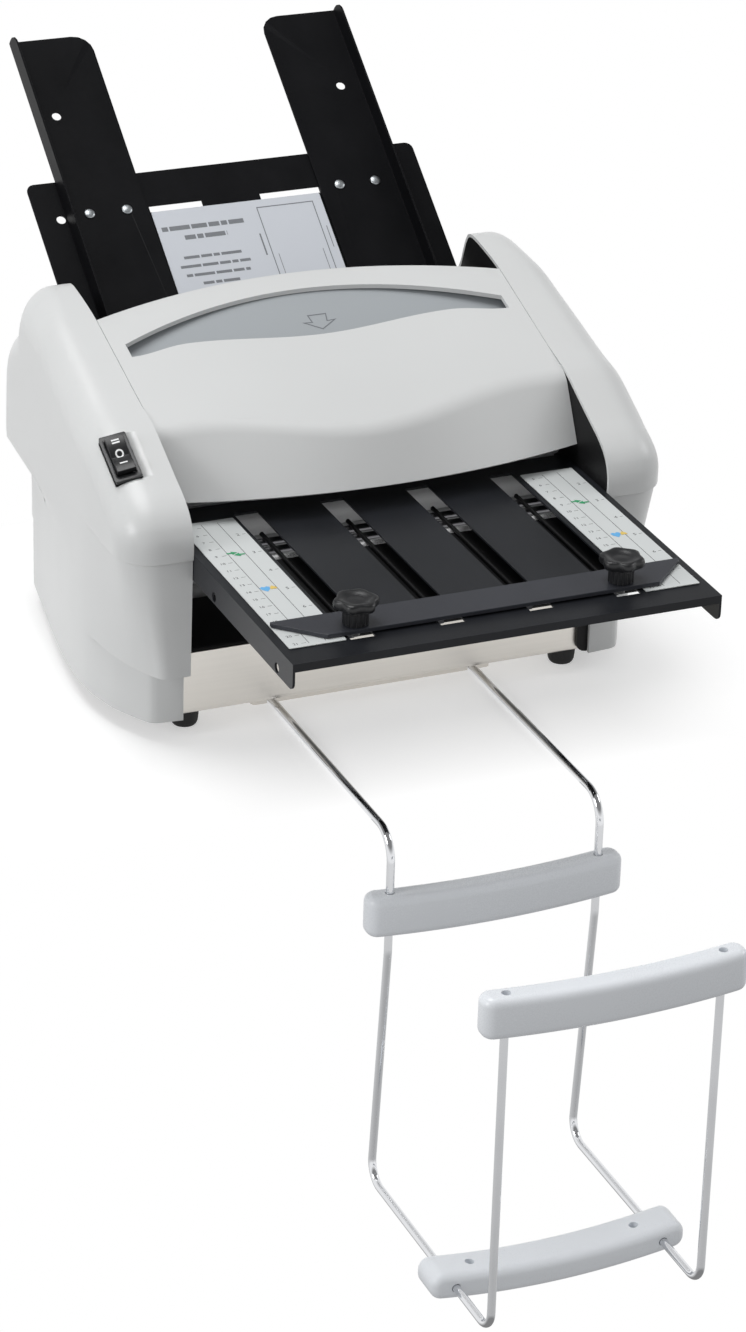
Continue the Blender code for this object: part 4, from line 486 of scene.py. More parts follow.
FRONT_EDGE = [(-0.987, 0.217, 1.0), (-0.992, 0.35, 1.0), (-0.997, 0.467, 1.0),
              (-1.0, 0.575, 1.0), (-1.0, 0.617, 1.0), (-0.99, 0.645, 1.0),
              (-0.966, 0.673, 1.0), (-0.92, 0.701, 1.0), (-0.85, 0.727, 1.0),
              (-0.767, 0.749, 1.0), (-0.7, 0.767, 1.0), (-0.592, 0.797, 1.0),
              (-0.483, 0.827, 1.0), (-0.392, 0.8435, 1.0)]
TOP_EDGE = [-0.25, 0.0, 0.22, 0.35]
REAR_EDGE = [(0.484, 0.987, 1.1), (0.609, 0.998, 1.18), (0.672, 1.0, 1.22),
             (0.715, 0.993, 1.22), (0.742, 0.972, 1.18), (0.766, 0.939, 1.1),
             (0.794, 0.893, 1.0), (0.844, 0.85, 0.9), (0.906, 0.813, 0.8),
             (0.961, 0.771, 0.72), (0.992, 0.72, 0.62), (1.0, 0.654, 0.55),
             (1.0, 0.523, 0.5), (0.984, 0.481, 0.45), (0.945, 0.453, 0.4),
             (0.898, 0.439, 0.36), (0.875, 0.425, 0.36), (0.863, 0.402, 0.4),
             (0.86, 0.364, 0.45), (0.86, 0.283, 0.45)]
SPINE = ((-0.667, 0.584), (0.547, 0.70))
SKIRT_EDGE = [(0.0, -1.0), (0.40, -0.986), (0.50, -0.965), (0.60, -0.905), (0.72, -0.82),
              (0.83, -0.73), (0.91, -0.62), (0.97, -0.51), (1.0, -0.38), (0.98, -0.16),
              (0.90, 0.12), (0.78, 0.40), (0.64, 0.69), (0.56, 0.86), (0.50, 0.96),
              (0.42, 1.0), (0.0, 1.0)]


# %% Lines of the covers
def hood_z(y):
    return HOOD_Z + HOOD_SLOPE * y


def ledge_z(y):
    return LEDGE_Z + LEDGE_RISE * (y + COVER_FRONT)


def reach(share):
    return share * (COVER_REAR if share > 0 else COVER_FRONT)


def rim_direction(y, z):
    """Way out from the middle of the body at an edge point."""
    (y0, z0), (y1, z1) = [(reach(s), COVER_TOP * t) for s, t in SPINE]
    if y < 0 and z < z0:
        return (-1.0, -LEDGE_RISE if z < LEDGE_Z * 1.2 else 0.0)
    if y > 0 and z < COVER_TOP * 0.41:
        return (1.0, LEDGE_RISE if z < LEDGE_Z * 1.5 else 0.0)
    line = Vector((y1 - y0, z1 - z0))
    t = max(0.0, min(1.0, Vector((y - y0, z - z0)).dot(line) / line.length_squared))
    return tuple((Vector((y, z)) - Vector((y0, z0)) - line * t).normalized())


def cover_edge():
    """Rows of y, z, rim radius and way out along the inner edge, front to rear."""
    edge = [(reach(s), COVER_TOP * t, RIM_R * r) for s, t, r in FRONT_EDGE]
    edge += [(reach(s), hood_z(reach(s)), RIM_R) for s in TOP_EDGE]
    edge += [(reach(s), COVER_TOP * t, RIM_R * r) for s, t, r in REAR_EDGE]
    for i in (0, -1):
        edge[i] = (edge[i][0], ledge_z(edge[i][0]), edge[i][2])
    return flowing([(*row, *rim_direction(row[0], row[1])) for row in edge], 4)


def skirt_x(share):
    share = max(-1.0, min(1.0, share))
    for (a0, b0), (a1, b1) in zip(SKIRT_EDGE[1:], SKIRT_EDGE[2:]):
        if b0 <= share <= b1:
            return SKIRT_OUT * (a0 + (a1 - a0) * (share - b0) / (b1 - b0))
    return SKIRT_OUT * (SKIRT_EDGE[1][0] if share < 0 else SKIRT_EDGE[-2][0])


def side_stretch(y, z):
    """Width of the cover over its side frame, as a share of the straight body's."""
    full = COVER_OUT - CLEAR_HALF
    t = max(0.0, (y - WIDE_Y) / (COVER_REAR - WIDE_Y))
    top = 1.0 - TOP_TAPER / full * t * (0.6 + 0.4 * min(1.0, t))
    ahead = max(0.0, -y - (COVER_FRONT - RIM_R))
    straight = full - RIM_R + sqrt(max(0.0, RIM_R ** 2 - min(ahead, RIM_R * 0.85) ** 2))
    share = y / (COVER_FRONT if y < 0 else SKIRT_REAR)
    foot = min(1.0, (skirt_x(max(share, -0.965)) + LEDGE_SIDE) / straight)
    front = smooth_share(-y / COVER_FRONT + 0.2)
    high = REAR_DROP_Z + (STEP_Z - REAR_DROP_Z) * front
    drop = REAR_DROP + (STEP_Z - LEDGE_Z - REAR_DROP) * front
    return top + (foot - top) * max(0.0, min(1.0, (high - z) / drop))


def cover_form(x, y, z):
    """Move a point of the straight body to its place on the real cover."""
    stretch = side_stretch(y, z)
    out = max(0.0, (x - (COVER_OUT - RIM_R)) / RIM_R)
    ahead = max(0.0, (-y - (COVER_FRONT - RIM_R)) / RIM_R)
    size = hypot(out, ahead)
    moved_x = CLEAR_HALF + (x - CLEAR_HALF) * stretch
    if z < STEP_Z and size > 0.0:
        depth = STEP_IN * smooth_share((STEP_Z - z) / STEP_H)
        depth *= smooth_share(1.0 - (y + COVER_FRONT - RIM_R) / STEP_FADE)
        moved_x -= depth * min(1.0, out / size)
        y += depth * min(1.0, ahead / size)
    return moved_x, y, z


# %% Sweeping the rim and cutting the side into small faces
def cover_skin(name, side, steps=10):
    ring = [(y, z, Vector((a, b)).normalized(), r) for y, z, r, a, b in cover_edge()]
    for share in (0.5, 0.0, -0.5):
        ring.append((reach(share), ledge_z(reach(share)), Vector((0.0, 0.0)), RIM_R))
    bm = bmesh.new()
    loops = []
    for k in range(-1, steps + 1):
        a = pi / 2 * max(k, 0) / steps
        loops.append([bm.verts.new((CLEAR_HALF if k < 0 else COVER_OUT - r * (1 - sin(a)),
                                    y - way.x * r * (1 - cos(a)), z - way.y * r * (1 - cos(a))))
                      for y, z, way, r in ring])
    for a, b in zip(loops, loops[1:]):
        for i in range(len(ring)):
            j = (i + 1) % len(ring)
            bm.faces.new((a[i], a[j], b[j], b[i]))
    bm.faces.new(loops[-1])
    cuts = [((0, y * MM, 0), (0, 1, 0)) for y in range(-114, 128, 8)]
    cuts += [((0, 0, z * MM), (0, 0, 1)) for z in range(52, 214, 6)]
    cuts += [((0, 0, STEP_Z - STEP_H * s), (0, 0, 1)) for s in (0.0, 0.35, 0.7, 1.0)]
    cuts += [((x * MM, 0, 0), (1, 0, 0)) for x in (137, 143)]
    for point, normal in cuts:
        bmesh.ops.bisect_plane(bm, geom=bm.verts[:] + bm.edges[:] + bm.faces[:],
                               dist=0.01 * MM, plane_co=point, plane_no=normal)
    for vert in bm.verts:
        x, y, z = cover_form(*vert.co)
        vert.co = (side * x, y, z)
    return walled(loose(name, bm), COVER_WALL)


def walled(obj, wall):
    """Give an open skin its wall, inward."""
    middle = sum((v.co for v in obj.data.vertices), Vector()) / len(obj.data.vertices)
    middle.x = CLEAR_HALF * (1 if middle.x > 0 else -1)
    if sum((f.center - middle).dot(f.normal) * f.area for f in obj.data.polygons) < 0:
        obj.data.flip_normals()
    mod = obj.modifiers.new("wall", 'SOLIDIFY')
    mod.thickness, mod.offset, mod.use_even_offset = wall, -1.0, True
    settle(obj)
    obj.data.shade_smooth()
    obj.data.set_sharp_from_angle(angle=radians(32))
    return obj


def cover_foot(name, side):
    ring = [(CLEAR_HALF + SKIRT_OUT * a, b * (SKIRT_REAR if b > 0 else SKIRT_FRONT))
            for a, b in SKIRT_EDGE]
    ring = [ring[0]] + flowing(ring[1:-1], 5) + [ring[-1]]
    bm = bmesh.new()
    rows = []
    for share in (0.0, 0.02, 0.25, 0.5, 0.75, 1.0):
        rows.append([bm.verts.new((side * x, y, FOOT_H + (ledge_z(y) + 1.0 * MM - FOOT_H) * share))
                     for x, y in ring])
    for a, b in zip(rows, rows[1:]):
        for i in range(len(ring) - 1):
            bm.faces.new((a[i], a[i + 1], b[i + 1], b[i]))
    return walled(loose(name, bm), COVER_WALL)


# %% [markdown]
# ## Rocker switch
# The left cover carries a small three-way rocker in a black bezel, set in a shallow seat.  The
# seat is cut from the finished skin, so the bezel stands in it as the real one does.

# %% Place of the switch
SWITCH_W, SWITCH_L, SWITCH_FLANGE = 16.0 * MM, 34.0 * MM, 2.2 * MM
SWITCH_ROLL, SWITCH_PITCH = radians(12), atan2(0.5, 1.0)
slope = Vector((0.0, cos(SWITCH_PITCH), sin(SWITCH_PITCH)))
lean = Vector((cos(SWITCH_ROLL), sin(SWITCH_ROLL) * -sin(SWITCH_PITCH),
               sin(SWITCH_ROLL) * cos(SWITCH_PITCH)))
SWITCH = place(lean, slope, lean.cross(slope), (-158.0 * MM, -71.0 * MM, 168.6 * MM))


# %% Both covers
def stadium(centre, length, width, turn, count=12):
    half, r = (length - width) / 2, width / 2
    ring = []
    for sign, start in ((1, -pi / 2), (-1, pi / 2)):
        for i in range(count + 1):
            a = start + pi * i / count
            ring.append((sign * half + r * cos(a), r * sin(a)))
    c, s = cos(turn), sin(turn)
    return [(centre[0] + x * c - y * s, centre[1] + x * s + y * c) for x, y in ring]


for side, label in ((-1, "left"), (1, "right")):
    skin = cover_skin("cover_body_" + label, side)
    ends = sorted((side * 150 * MM, side * 180 * MM))
    cutters = [slab("slot_cutter", stadium((48 * MM, 97 * MM), 12 * MM, 4.5 * MM,
                                           pi / 2 + radians(16)), ends[0], ends[1], ALONG_X)]
    if side < 0:
        seat = rounded(rectangle(-8.3 * MM, 8.3 * MM, -17.3 * MM, 17.3 * MM), 1.2 * MM)
        cutters.append(slab("seat_cutter", seat, -9 * MM, 9 * MM, SWITCH))
    else:
        low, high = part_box("exit_gear")
        way = circle(((low[1] + high[1]) / 2, (low[2] + high[2]) / 2),
                     (high[2] - low[2]) / 2 + 1.5 * MM)
        cutters.append(slab("gear_cutter", way, CLEAR_HALF - 2 * MM, high[0] + 1.5 * MM, ALONG_X))
    carve(skin, *cutters)
    mounted(skin, PALE, "cover_" + label)
    mounted(cover_foot("cover_foot_" + label, side), PALE, "cover_" + label, False)
    print("cover", label, len(skin.data.vertices), "points")

# %% Bezel, rocker and its legends
bezel = slab("switch_frame", rounded(rectangle(-SWITCH_W / 2, SWITCH_W / 2, -SWITCH_L / 2,
                                               SWITCH_L / 2), 1.1 * MM),
             0.0, SWITCH_FLANGE, ALONG_Z,
             [rounded(rectangle(-5.9 * MM, 5.9 * MM, -13.4 * MM, 13.4 * MM), 0.4 * MM)[::-1]])
bevelled(bezel, 0.45 * MM)
well = slab("well_floor", rectangle(-7.1 * MM, 7.1 * MM, -14.7 * MM, 14.7 * MM), -14 * MM,
            -6.8 * MM)
bezel = together("switch_frame", [bezel, well])
bezel.data.transform(SWITCH)
mounted(bezel, BLACK_PLASTIC, "switch_bezel")

half_l, crown = 12.5 * MM, []
for share in [-1.0 + i / 12 for i in range(25)]:
    dip = 25 * MM - sqrt((25 * MM) ** 2 - (half_l * (1 - abs(share))) ** 2)
    crown.append((half_l * share, 3.6 * MM - dip))
ROCKER = SWITCH @ place((0, 1, 0), (0, 0, 1), (1, 0, 0), (0, 0, SWITCH_FLANGE))
ring = crown[::-1] + [(-half_l, 0.0), (-half_l * 0.55, -4 * MM), (half_l * 0.55, -4 * MM),
                      (half_l, 0.0)]
rocker = slab("switch_key", ring, -5.6 * MM, 5.6 * MM, ALONG_Z)
bevelled(rocker, 0.35 * MM, 2, 50)
rocker.data.transform(ROCKER)
mounted(rocker, BLACK_PLASTIC, "switch_rocker")


def crown_z(y):
    return 3.6 * MM - (25 * MM - sqrt((25 * MM) ** 2 - (half_l * (1 - abs(y / half_l))) ** 2))


legend = []
for y, kind in ((10.1, "bar"), (8.3, "bar"), (1.6, "ring"), (-6.4, "bar")):
    y *= MM
    if kind == "bar":
        outline, holes = rectangle(-2.3 * MM, 2.3 * MM, -0.5 * MM, 0.5 * MM), ()
    else:
        outline, holes = circle((0, 0), 2.5 * MM), [circle((0, 0), 1.55 * MM)[::-1]]
    mark = slab("legend", outline, 0.0, 0.06 * MM, ALONG_Z, holes)
    bm = bmesh.new()
    bm.from_mesh(mark.data)
    for line in (-2, -1, 0, 1, 2):
        bmesh.ops.bisect_plane(bm, geom=bm.verts[:] + bm.edges[:] + bm.faces[:], dist=0.01 * MM,
                               plane_co=(0, line * MM, 0), plane_no=(0, 1, 0))
    for vert in bm.verts:
        vert.co.z += SWITCH_FLANGE + crown_z(vert.co.y + y) + 0.03 * MM
    bm.to_mesh(mark.data)
    bm.free()
    mark.data.transform(SWITCH @ Matrix.Translation((0, y, 0)))
    legend.append(mark)
mounted(together("switch_legend", legend), INK_WHITE, "switch_rocker", False)

# %% [markdown]
# ## Hood and hand feed pocket
# The hood is one sheet of plastic, bent along a soft crease that waves like a shallow M.  It
# is swept across the machine station by station, because the crease, the rear edge and the
# front edge each bow differently.  The pocket is cut through it and shows the grey guide.

# %% Hood
HOOD_HALF = CLEAR_HALF - 0.3 * MM
HOOD_REAR, HOOD_REAR_BOW, HOOD_LIP, HOOD_ROUND = 65.0 * MM, 20.0 * MM, 9.0 * MM, 3.0 * MM
CREASE_Y, CREASE_WAVE, CREASE_HALF, CREASE_R = -77.0 * MM, 21.0 * MM, 110.0 * MM, 6.5 * MM
HOOD_EDGE_Y, HOOD_EDGE_BOW, HOOD_EDGE_Z = -94.7 * MM, 18.7 * MM, 139.0 * MM
POCKET_HALF, POCKET_REAR, POCKET_REAR_BOW = 122.0 * MM, 48.5 * MM, 29.0 * MM
POCKET_FRONT, POCKET_WAVE, POCKET_WAVE_HALF, POCKET_END = 6.5 * MM, 7.0 * MM, 85.0 * MM, 8.0 * MM


def hood_section(x, bend=16, top_parts=10):
    """Outer line of the hood from the rear lip to the front edge."""
    rear = HOOD_REAR - HOOD_REAR_BOW * (x / HOOD_HALF) ** 2
    wave = min(abs(x), CREASE_HALF) / CREASE_HALF
    crease = CREASE_Y + CREASE_WAVE * (1 - cos(pi * wave)) / 2
    edge = HOOD_EDGE_Y + HOOD_EDGE_BOW * (x / HOOD_HALF) ** 2
    top, fold = Vector((rear, hood_z(rear))), Vector((crease, hood_z(crease)))
    low = Vector((edge, HOOD_EDGE_Z))
    line = [(rear, top.y - HOOD_LIP), (rear, top.y - HOOD_ROUND)]
    for t in (0.25, 0.5, 0.75):
        a = pi / 2 * t
        line.append((rear - HOOD_ROUND * (1 - cos(a)), top.y - HOOD_ROUND * (1 - sin(a)) * 1.1))
    line.append((rear - HOOD_ROUND, hood_z(rear - HOOD_ROUND)))
    begin = fold + (top - fold).normalized() * CREASE_R
    end = fold + (low - fold).normalized() * CREASE_R
    start = Vector(line[-1])
    line += [tuple(start.lerp(begin, (i + 1) / top_parts)) for i in range(top_parts - 1)]
    for i in range(bend + 1):
        t = i / bend
        line.append(tuple(begin * (1 - t) ** 2 + fold * 2 * t * (1 - t) + end * t ** 2))
    return line + [tuple(end.lerp(low, t)) for t in (0.33, 0.67, 1.0)]


def hood_shell(name, wall=2.5 * MM, stations=64):
    bm, loops = bmesh.new(), []
    for n in range(stations + 1):
        x = (2 * n / stations - 1) * HOOD_HALF
        line = hood_section(x)
        loops.append([bm.verts.new((x, y, z)) for y, z in line + offset_line(line, wall)[::-1]])
    for a, b in zip(loops, loops[1:]):
        for i in range(len(a)):
            j = (i + 1) % len(a)
            bm.faces.new((a[i], a[j], b[j], b[i]))
    bm.faces.new(loops[0])
    bm.faces.new(loops[-1])
    return loose(name, bm)


def pocket_outline(count=48):
    half, inner, mid = POCKET_HALF, POCKET_WAVE_HALF, POCKET_FRONT + POCKET_WAVE
    ring = []
    for i in range(count + 1):
        share = 2 * i / count - 1
        ring.append((share * half, POCKET_REAR - POCKET_REAR_BOW * share ** 2))
    for i in range(count + 1):
        share = 1 - 2 * i / count
        x = abs(share) * half
        if x < inner:
            y = POCKET_FRONT + POCKET_WAVE * (1 - cos(pi * x / inner)) / 2
        else:
            y = mid + (POCKET_END - mid) * (1 - cos(pi * (x - inner) / (half - inner))) / 2
        ring.append((share * half, y))
    return rounded(ring, [0.0] * len(ring))


hood = hood_shell("hood_shell")
carve(hood, slab("pocket_cutter", pocket_outline(), hood_z(0) - 9 * MM,
                 hood_z(POCKET_REAR) + 5 * MM))
hood.data.shade_smooth()
hood.data.set_sharp_from_angle(angle=radians(32))
mounted(hood, PALE, "hood")
print("hood", len(hood.data.vertices), "points")

# %% Plain arrow on the pocket floor
# the floor climbs from the knee to the rear under the hood
knee, rear_y = Vector((-3.0 * MM, 181.0 * MM)), 51.0 * MM
rear = Vector((rear_y, hood_z(rear_y) - 2.5 * MM / cos(atan2(HOOD_SLOPE, 1)) - 0.3 * MM))
floor_dir = (rear - knee).normalized()
floor_n = Vector((0, -floor_dir.y, floor_dir.x))
POCKET_FLOOR = place((1, 0, 0), (0, floor_dir.x, floor_dir.y), floor_n, (0, knee.x, knee.y))
arrow = [(-6.2, 6.0), (6.2, 6.0), (5.2, 0.2), (11.0, 0.5), (0.0, -6.6), (-11.0, 0.5), (-5.2, 0.2)]
inner = [(-5.4, 5.3), (5.4, 5.3), (4.4, -0.45), (8.9, -0.1), (0.0, -5.75), (-8.9, -0.1), (-4.4,
                                                                                          -0.45)]
mark = slab("pocket_arrow", [(x * MM, y * MM) for x, y in arrow], 0.05 * MM, 0.12 * MM, ALONG_Z,
            [[(x * MM, y * MM) for x, y in inner][::-1]])
mark.data.transform(POCKET_FLOOR @ Matrix.Translation((5 * MM, 33 * MM, 0)))
mounted(mark, INK_GREY, "hand_feed_guide", False)

# %% [markdown]
# ## Clamp knobs
# The knobs are black mouldings with six soft lobes, a dished top and a fluted stem.  A plain
# lathe can't make lobes, so the radius of each ring is a function of the angle.

# %% Knobs
KNOB_LOBES = 6


def knob(name, matrix):
    def lobed(r, depth):
        return lambda a: r - depth * (1 - cos(KNOB_LOBES * a)) / 2

    def fluted(r):
        return lambda a: r - 0.55 * MM * (0.5 + 0.5 * cos(14 * a)) ** 2

    cap = ((0.0, 0.0, 14.2), (3.0, 0.0, 14.15), (4.6, 0.0, 13.8), (6.0, 0.0, 13.9), (7.6, 0.2,
                                                                                     14.6),
           (9.2, 0.5, 15.2), (10.7, 0.9, 15.4), (11.9, 1.3, 15.2), (12.8, 1.8, 14.6),
           (13.25, 2.0, 13.6), (13.3, 2.1, 12.4), (13.2, 2.1, 11.2), (12.6, 1.9, 10.1),
           (11.4, 1.3, 9.5), (9.6, 0.5, 9.2), (8.2, 0.0, 9.0))
    rows = [(lobed(r * MM, depth * MM), h) for r, depth, h in cap]
    rows += [(fluted(7.6 * MM), 8.5), (fluted(7.5 * MM), 4.0), (fluted(7.5 * MM), 0.3)]
    rows += [(lobed(r * MM, 0.0), h) for r, h in ((7.1, 0.0), (2.5, 0.0), (2.5, -7.6),
                                                  (2.1, -8.0), (0.0, -8.0))]
    return lathe(name, [(radius, h * MM) for radius, h in rows], matrix, 140, 40)


for side, label in ((-1, "left"), (1, "right")):
    top = Matrix.Translation((side * 81.7 * MM, -239.5 * MM, 128.9 * MM))
    turn = Matrix.Rotation(radians(14 * side + 8), 4, 'Z')
    mounted(knob("fold_stop_knob_" + label, top @ turn), BLACK_PLASTIC, "stop_knob_" + label)
plate_dir, plate_n = Vector((0, 0.994522, -0.104528)), Vector((0, 0.104528, 0.994522))
mounted(knob("rear_fold_knob", place((1, 0, 0), plate_dir, plate_n, (0, 91.944 * MM, 89.479 * MM))),
        BLACK_PLASTIC, "rear_stop_knob")

# %% [markdown]
# ## Printed rulers
# Two white films on the fold tray carry a scale in centimetres and one in inches, with small
# coloured marks for common folds.  The print is real geometry a few hundredths of a millimetre
# thick, so it stays sharp from any distance and needs no picture.

# %% Rulers
TRAY_TOP = 125.0 * MM
FILM_LOW, FILM_HIGH = TRAY_TOP + 0.3 * MM, TRAY_TOP + 0.8 * MM


def figures(text, x, y, size, z):
    """A number lying flat, readable from the front."""
    curve = bpy.data.curves.new("figure", 'FONT')
    curve.body, curve.size, curve.extrude = text, size, 0.02 * MM
    curve.align_x, curve.align_y, curve.resolution_u = 'CENTER', 'CENTER', 3
    return from_curve("figure", curve, Matrix.Translation((x, y, z)))


def strip(x0, x1, y0, y1, z, height=0.05 * MM):
    return slab("strip", rectangle(x0, x1, y0, y1), z, z + height)


ARROW = [(-3.4, 0.7), (-0.4, 0.7), (-0.4, 2.2), (3.2, 0.0), (-0.4, -2.2), (-0.4, -0.7), (-3.4,
                                                                                         -0.7)]
HEART = [(-2.6, 2.0), (-1.2, 2.9), (0.0, 2.0), (1.2, 2.9), (2.6, 2.0), (2.2, -0.2), (0.0, -3.0),
         (-2.2, -0.2)]


def blot(shape, x, y, z, turn=0.0, scale=1.0):
    mark = slab("blot", [(a * MM * scale, b * MM * scale) for a, b in shape], z, z + 0.05 * MM)
    mark.data.transform(Matrix.Translation((x, y, 0)) @ Matrix.Rotation(turn, 4, 'Z'))
    return mark


for side, label in ((-1, "left"), (1, "right")):
    x0 = (-126.0 if side < 0 else 92.0) * MM
    node = "ruler_" + label
    film = slab("scale_film_" + label,
                rounded(rectangle(x0, x0 + 34 * MM, -252 * MM, -80 * MM), 0.8 * MM, 4),
                FILM_LOW, FILM_HIGH)
    bevelled(film, 0.12 * MM, 2)
    mounted(film, PRINT_FILM, node)
    z = FILM_HIGH + 0.01 * MM
    dark = [strip(x0 + a * MM, x0 + (a + 0.28) * MM, -249 * MM, -84 * MM, z) for a in (12.6, 22.6)]
    for n in range(1, 18):
        y = (-78.0 - 10.0 * n) * MM
        dark.append(figures(str(n + 4), x0 + 5.2 * MM, y, 3.4 * MM, z))
        dark.append(strip(x0 + 8.6 * MM, x0 + 11.2 * MM, y - 0.12 * MM, y + 0.12 * MM, z))
    for n in range(1, 7):
        y = (-78.0 - 25.4 * n) * MM
        dark.append(figures(str(n + 1), x0 + 28.0 * MM, y, 4.0 * MM, z))
        dark.append(strip(x0 + 30.6 * MM, x0 + 32.6 * MM, y - 0.12 * MM, y + 0.12 * MM, z))
    mounted(together("scale_figures_" + label, dark), INK_BLACK, node, False)
    shift = 0.0 if side < 0 else 1.5 * MM
    green = [blot(ARROW, x0 + 15.6 * MM, -126 * MM, z + 0.06 * MM, 0.0),
             blot(ARROW, x0 + 18.8 * MM, -129 * MM, z + 0.12 * MM, pi)]
    mounted(together("fold_mark_green_" + label, green), INK_GREEN, node, False)
    blue = blot(HEART, x0 + 16.0 * MM + shift, -177 * MM, z + 0.06 * MM, 0.0, 1.15)
    blue.name = "fold_mark_blue_" + label
    mounted(blue, INK_BLUE, node, False)
    yellow = blot(HEART, x0 + 20.6 * MM + shift, -176 * MM, z + 0.12 * MM, pi, 0.8)
    yellow.name = "fold_mark_yellow_" + label
    mounted(yellow, INK_YELLOW, node, False)

# %% [markdown]
# ## Instruction label
# A pale film on the feed tray carries grey rules and a plain outline of a sheet.  They could be
# an image, but thin slabs of ink on the film keep sharp edges at any distance.

# %% Label
FEED_ANGLE = atan2(0.728, 1.0)
FEED = place((1, 0, 0), (0, cos(FEED_ANGLE), sin(FEED_ANGLE)),
             (0, -sin(FEED_ANGLE), cos(FEED_ANGLE)), (0, 0, 114.2 * MM))
label_plate = slab("feed_label_film",
                   rounded(rectangle(-56 * MM, 56 * MM, 96 * MM, 190.6 * MM), 1.0 * MM, 4),
                   0.3 * MM, 0.7 * MM)
label_plate.data.transform(FEED)
mounted(label_plate, LABEL_FILM, "feed_label")
rules, z = [], 0.71 * MM
for row, (y, width, height) in enumerate(((177, 54, 3.2), (169.5, 28, 3.2), (155, 38, 2.0),
                                          (148.5, 46, 2.0), (142, 42, 2.0), (135.5, 24, 2.0),
                                          (129, 36, 2.0), (122.5, 42, 2.0))):
    x, part = (-26 - width / 2) * MM, 0
    while x < (-26 + width / 2) * MM:
        length = (4.0 + 3.1 * ((row * 5 + part * 3) % 4)) * MM
        end = min(x + length, (-26 + width / 2) * MM)
        rules.append(strip(x, end, (y - height / 2) * MM, (y + height / 2) * MM, z))
        x, part = end + 1.1 * MM, part + 1
for x0, x1, y0, y1 in ((12, 50, 184.6, 185.3), (12, 12.6, 132, 185), (49.4, 50, 132, 185),
                       (16, 46, 132, 132.4), (16, 16.4, 128, 150), (45.6, 46, 128, 150),
                       (8, 9, 150, 166), (53, 53.5, 150, 166)):
    rules.append(strip(x0 * MM, x1 * MM, y0 * MM, y1 * MM, z))
rules = together("label_rules", rules)
rules.data.transform(FEED)
mounted(rules, INK_GREY, "feed_label", False)

# %% Rivets of the side guides
wing_top = 1.5 * MM
dome = [(0.0, 1.2), (1.0, 1.16), (1.9, 1.0), (2.7, 0.72), (3.2, 0.4), (3.4, 0.1), (3.4, 0.0),
        (1.6, 0.0), (1.6, -3.3), (3.4, -3.3), (3.3, -3.7), (2.6, -4.0), (0.0, -4.1)]
for n, x in enumerate([s * x for x in (70.9, 95.3) for s in (-1, 1)]):
    rivet = turned("guide_rivet_head_%d" % (n + 1), [(r * MM, h * MM) for r, h in dome],
                   FEED @ Matrix.Translation((x * MM, 194.2 * MM, wing_top + 0.3 * MM)), 32, 60)
    mounted(rivet, RIVET_STEEL, "guide_rivet_%d" % (n + 1))

# %% [markdown]
# ## Stacker
# Two chromed wires run flat under the machine, turn down over the table's edge and up again,
# and three moulded bars join them.  The wires are tubes along a line whose corners are true
# arcs, with enough sides and steps for a mirror finish.

# %% Stacker wires
def arc_points(before, corner, after, radius, count=14):
    p = Vector(corner)
    a, b = (Vector(before) - p).normalized(), (Vector(after) - p).normalized()
    half = a.angle(b) / 2
    centre = p + (a + b).normalized() * (radius / sin(half))
    start, end = p + a * (radius / tan(half)) - centre, p + b * (radius / tan(half)) - centre
    sweep = start.angle(end)
    return [tuple(centre + (start * sin((1 - k / count) * sweep) + end * sin(k / count * sweep))
                  / sin(sweep)) for k in range(count + 1)]


corners = [(-22.0, 2.6), (-262.0, 2.6), (-262.0, -72.0), (-248.0, -232.5), (-419.0, -232.5),
           (-419.0, -20.0)]
corners = [(y * MM, z * MM) for y, z in corners]
path = [corners[0]]
for n, r in enumerate((17.0, 51.0, 13.0, 13.0)):
    path += arc_points(corners[n], corners[n + 1], corners[n + 2], r * MM)
path.append(corners[-1])
for side, label in ((-1, "left"), (1, "right")):
    wire = tube("stacker_wire_" + label, [(side * 65.5 * MM, y, z) for y, z in path], 2.4 * MM,
                sides=7)
    mounted(wire, CHROME, "catcher_wire_" + label)

# %% [markdown]
# ## Stacker bars
# Each bar is a bowed block of plastic with soft edges.  A bevel modifier would be held back by
# the short edges of the round corners, so the outline is stacked in shrinking copies instead,
# and the holes are cut last.

# %% Stacker bars
BAR_HALF, BAR_W, BAR_T, BAR_BOW = 80.0 * MM, 25.5 * MM, 17.0 * MM, 6.5 * MM
BAR_SOFT, BAR_CORNER = 5.0 * MM, 7.2 * MM
WIRE_X, BAR_HOLE_X = 65.5 * MM, 52.0 * MM


def pillow(name, line, half, soft, steps=8):
    """A closed outline between -half and half, with round edges."""
    pairs = list(zip(line[-1:] + line[:-1], line[1:] + line[:1]))
    turn = 1 if sum(a[0] * b[1] - b[0] * a[1] for a, b in zip(line,
                                                              line[1:] + line[:1])) > 0 else -1
    out = [Vector((b[1] - a[1], a[0] - b[0])).normalized() * turn for a, b in pairs]
    levels = [(soft * (1 - sin(pi / 2 * k / steps)), half - soft * (1 - cos(pi / 2 * k / steps)))
              for k in range(steps + 1)]
    bm = bmesh.new()
    rows = [[bm.verts.new((p[0] - way.x * inset, p[1] - way.y * inset, z))
             for p, way in zip(line, out)]
            for inset, z in [(i, -z) for i, z in levels] + levels[::-1]]
    for low, high in zip(rows, rows[1:]):
        for i in range(len(line)):
            j = (i + 1) % len(line)
            bm.faces.new((low[i], low[j], high[j], high[i]))
    bm.faces.new(rows[0][::-1])
    bm.faces.new(rows[-1])
    bmesh.ops.remove_doubles(bm, verts=bm.verts[:], dist=0.002 * MM)
    bmesh.ops.recalc_face_normals(bm, faces=bm.faces[:])
    return loose(name, bm)


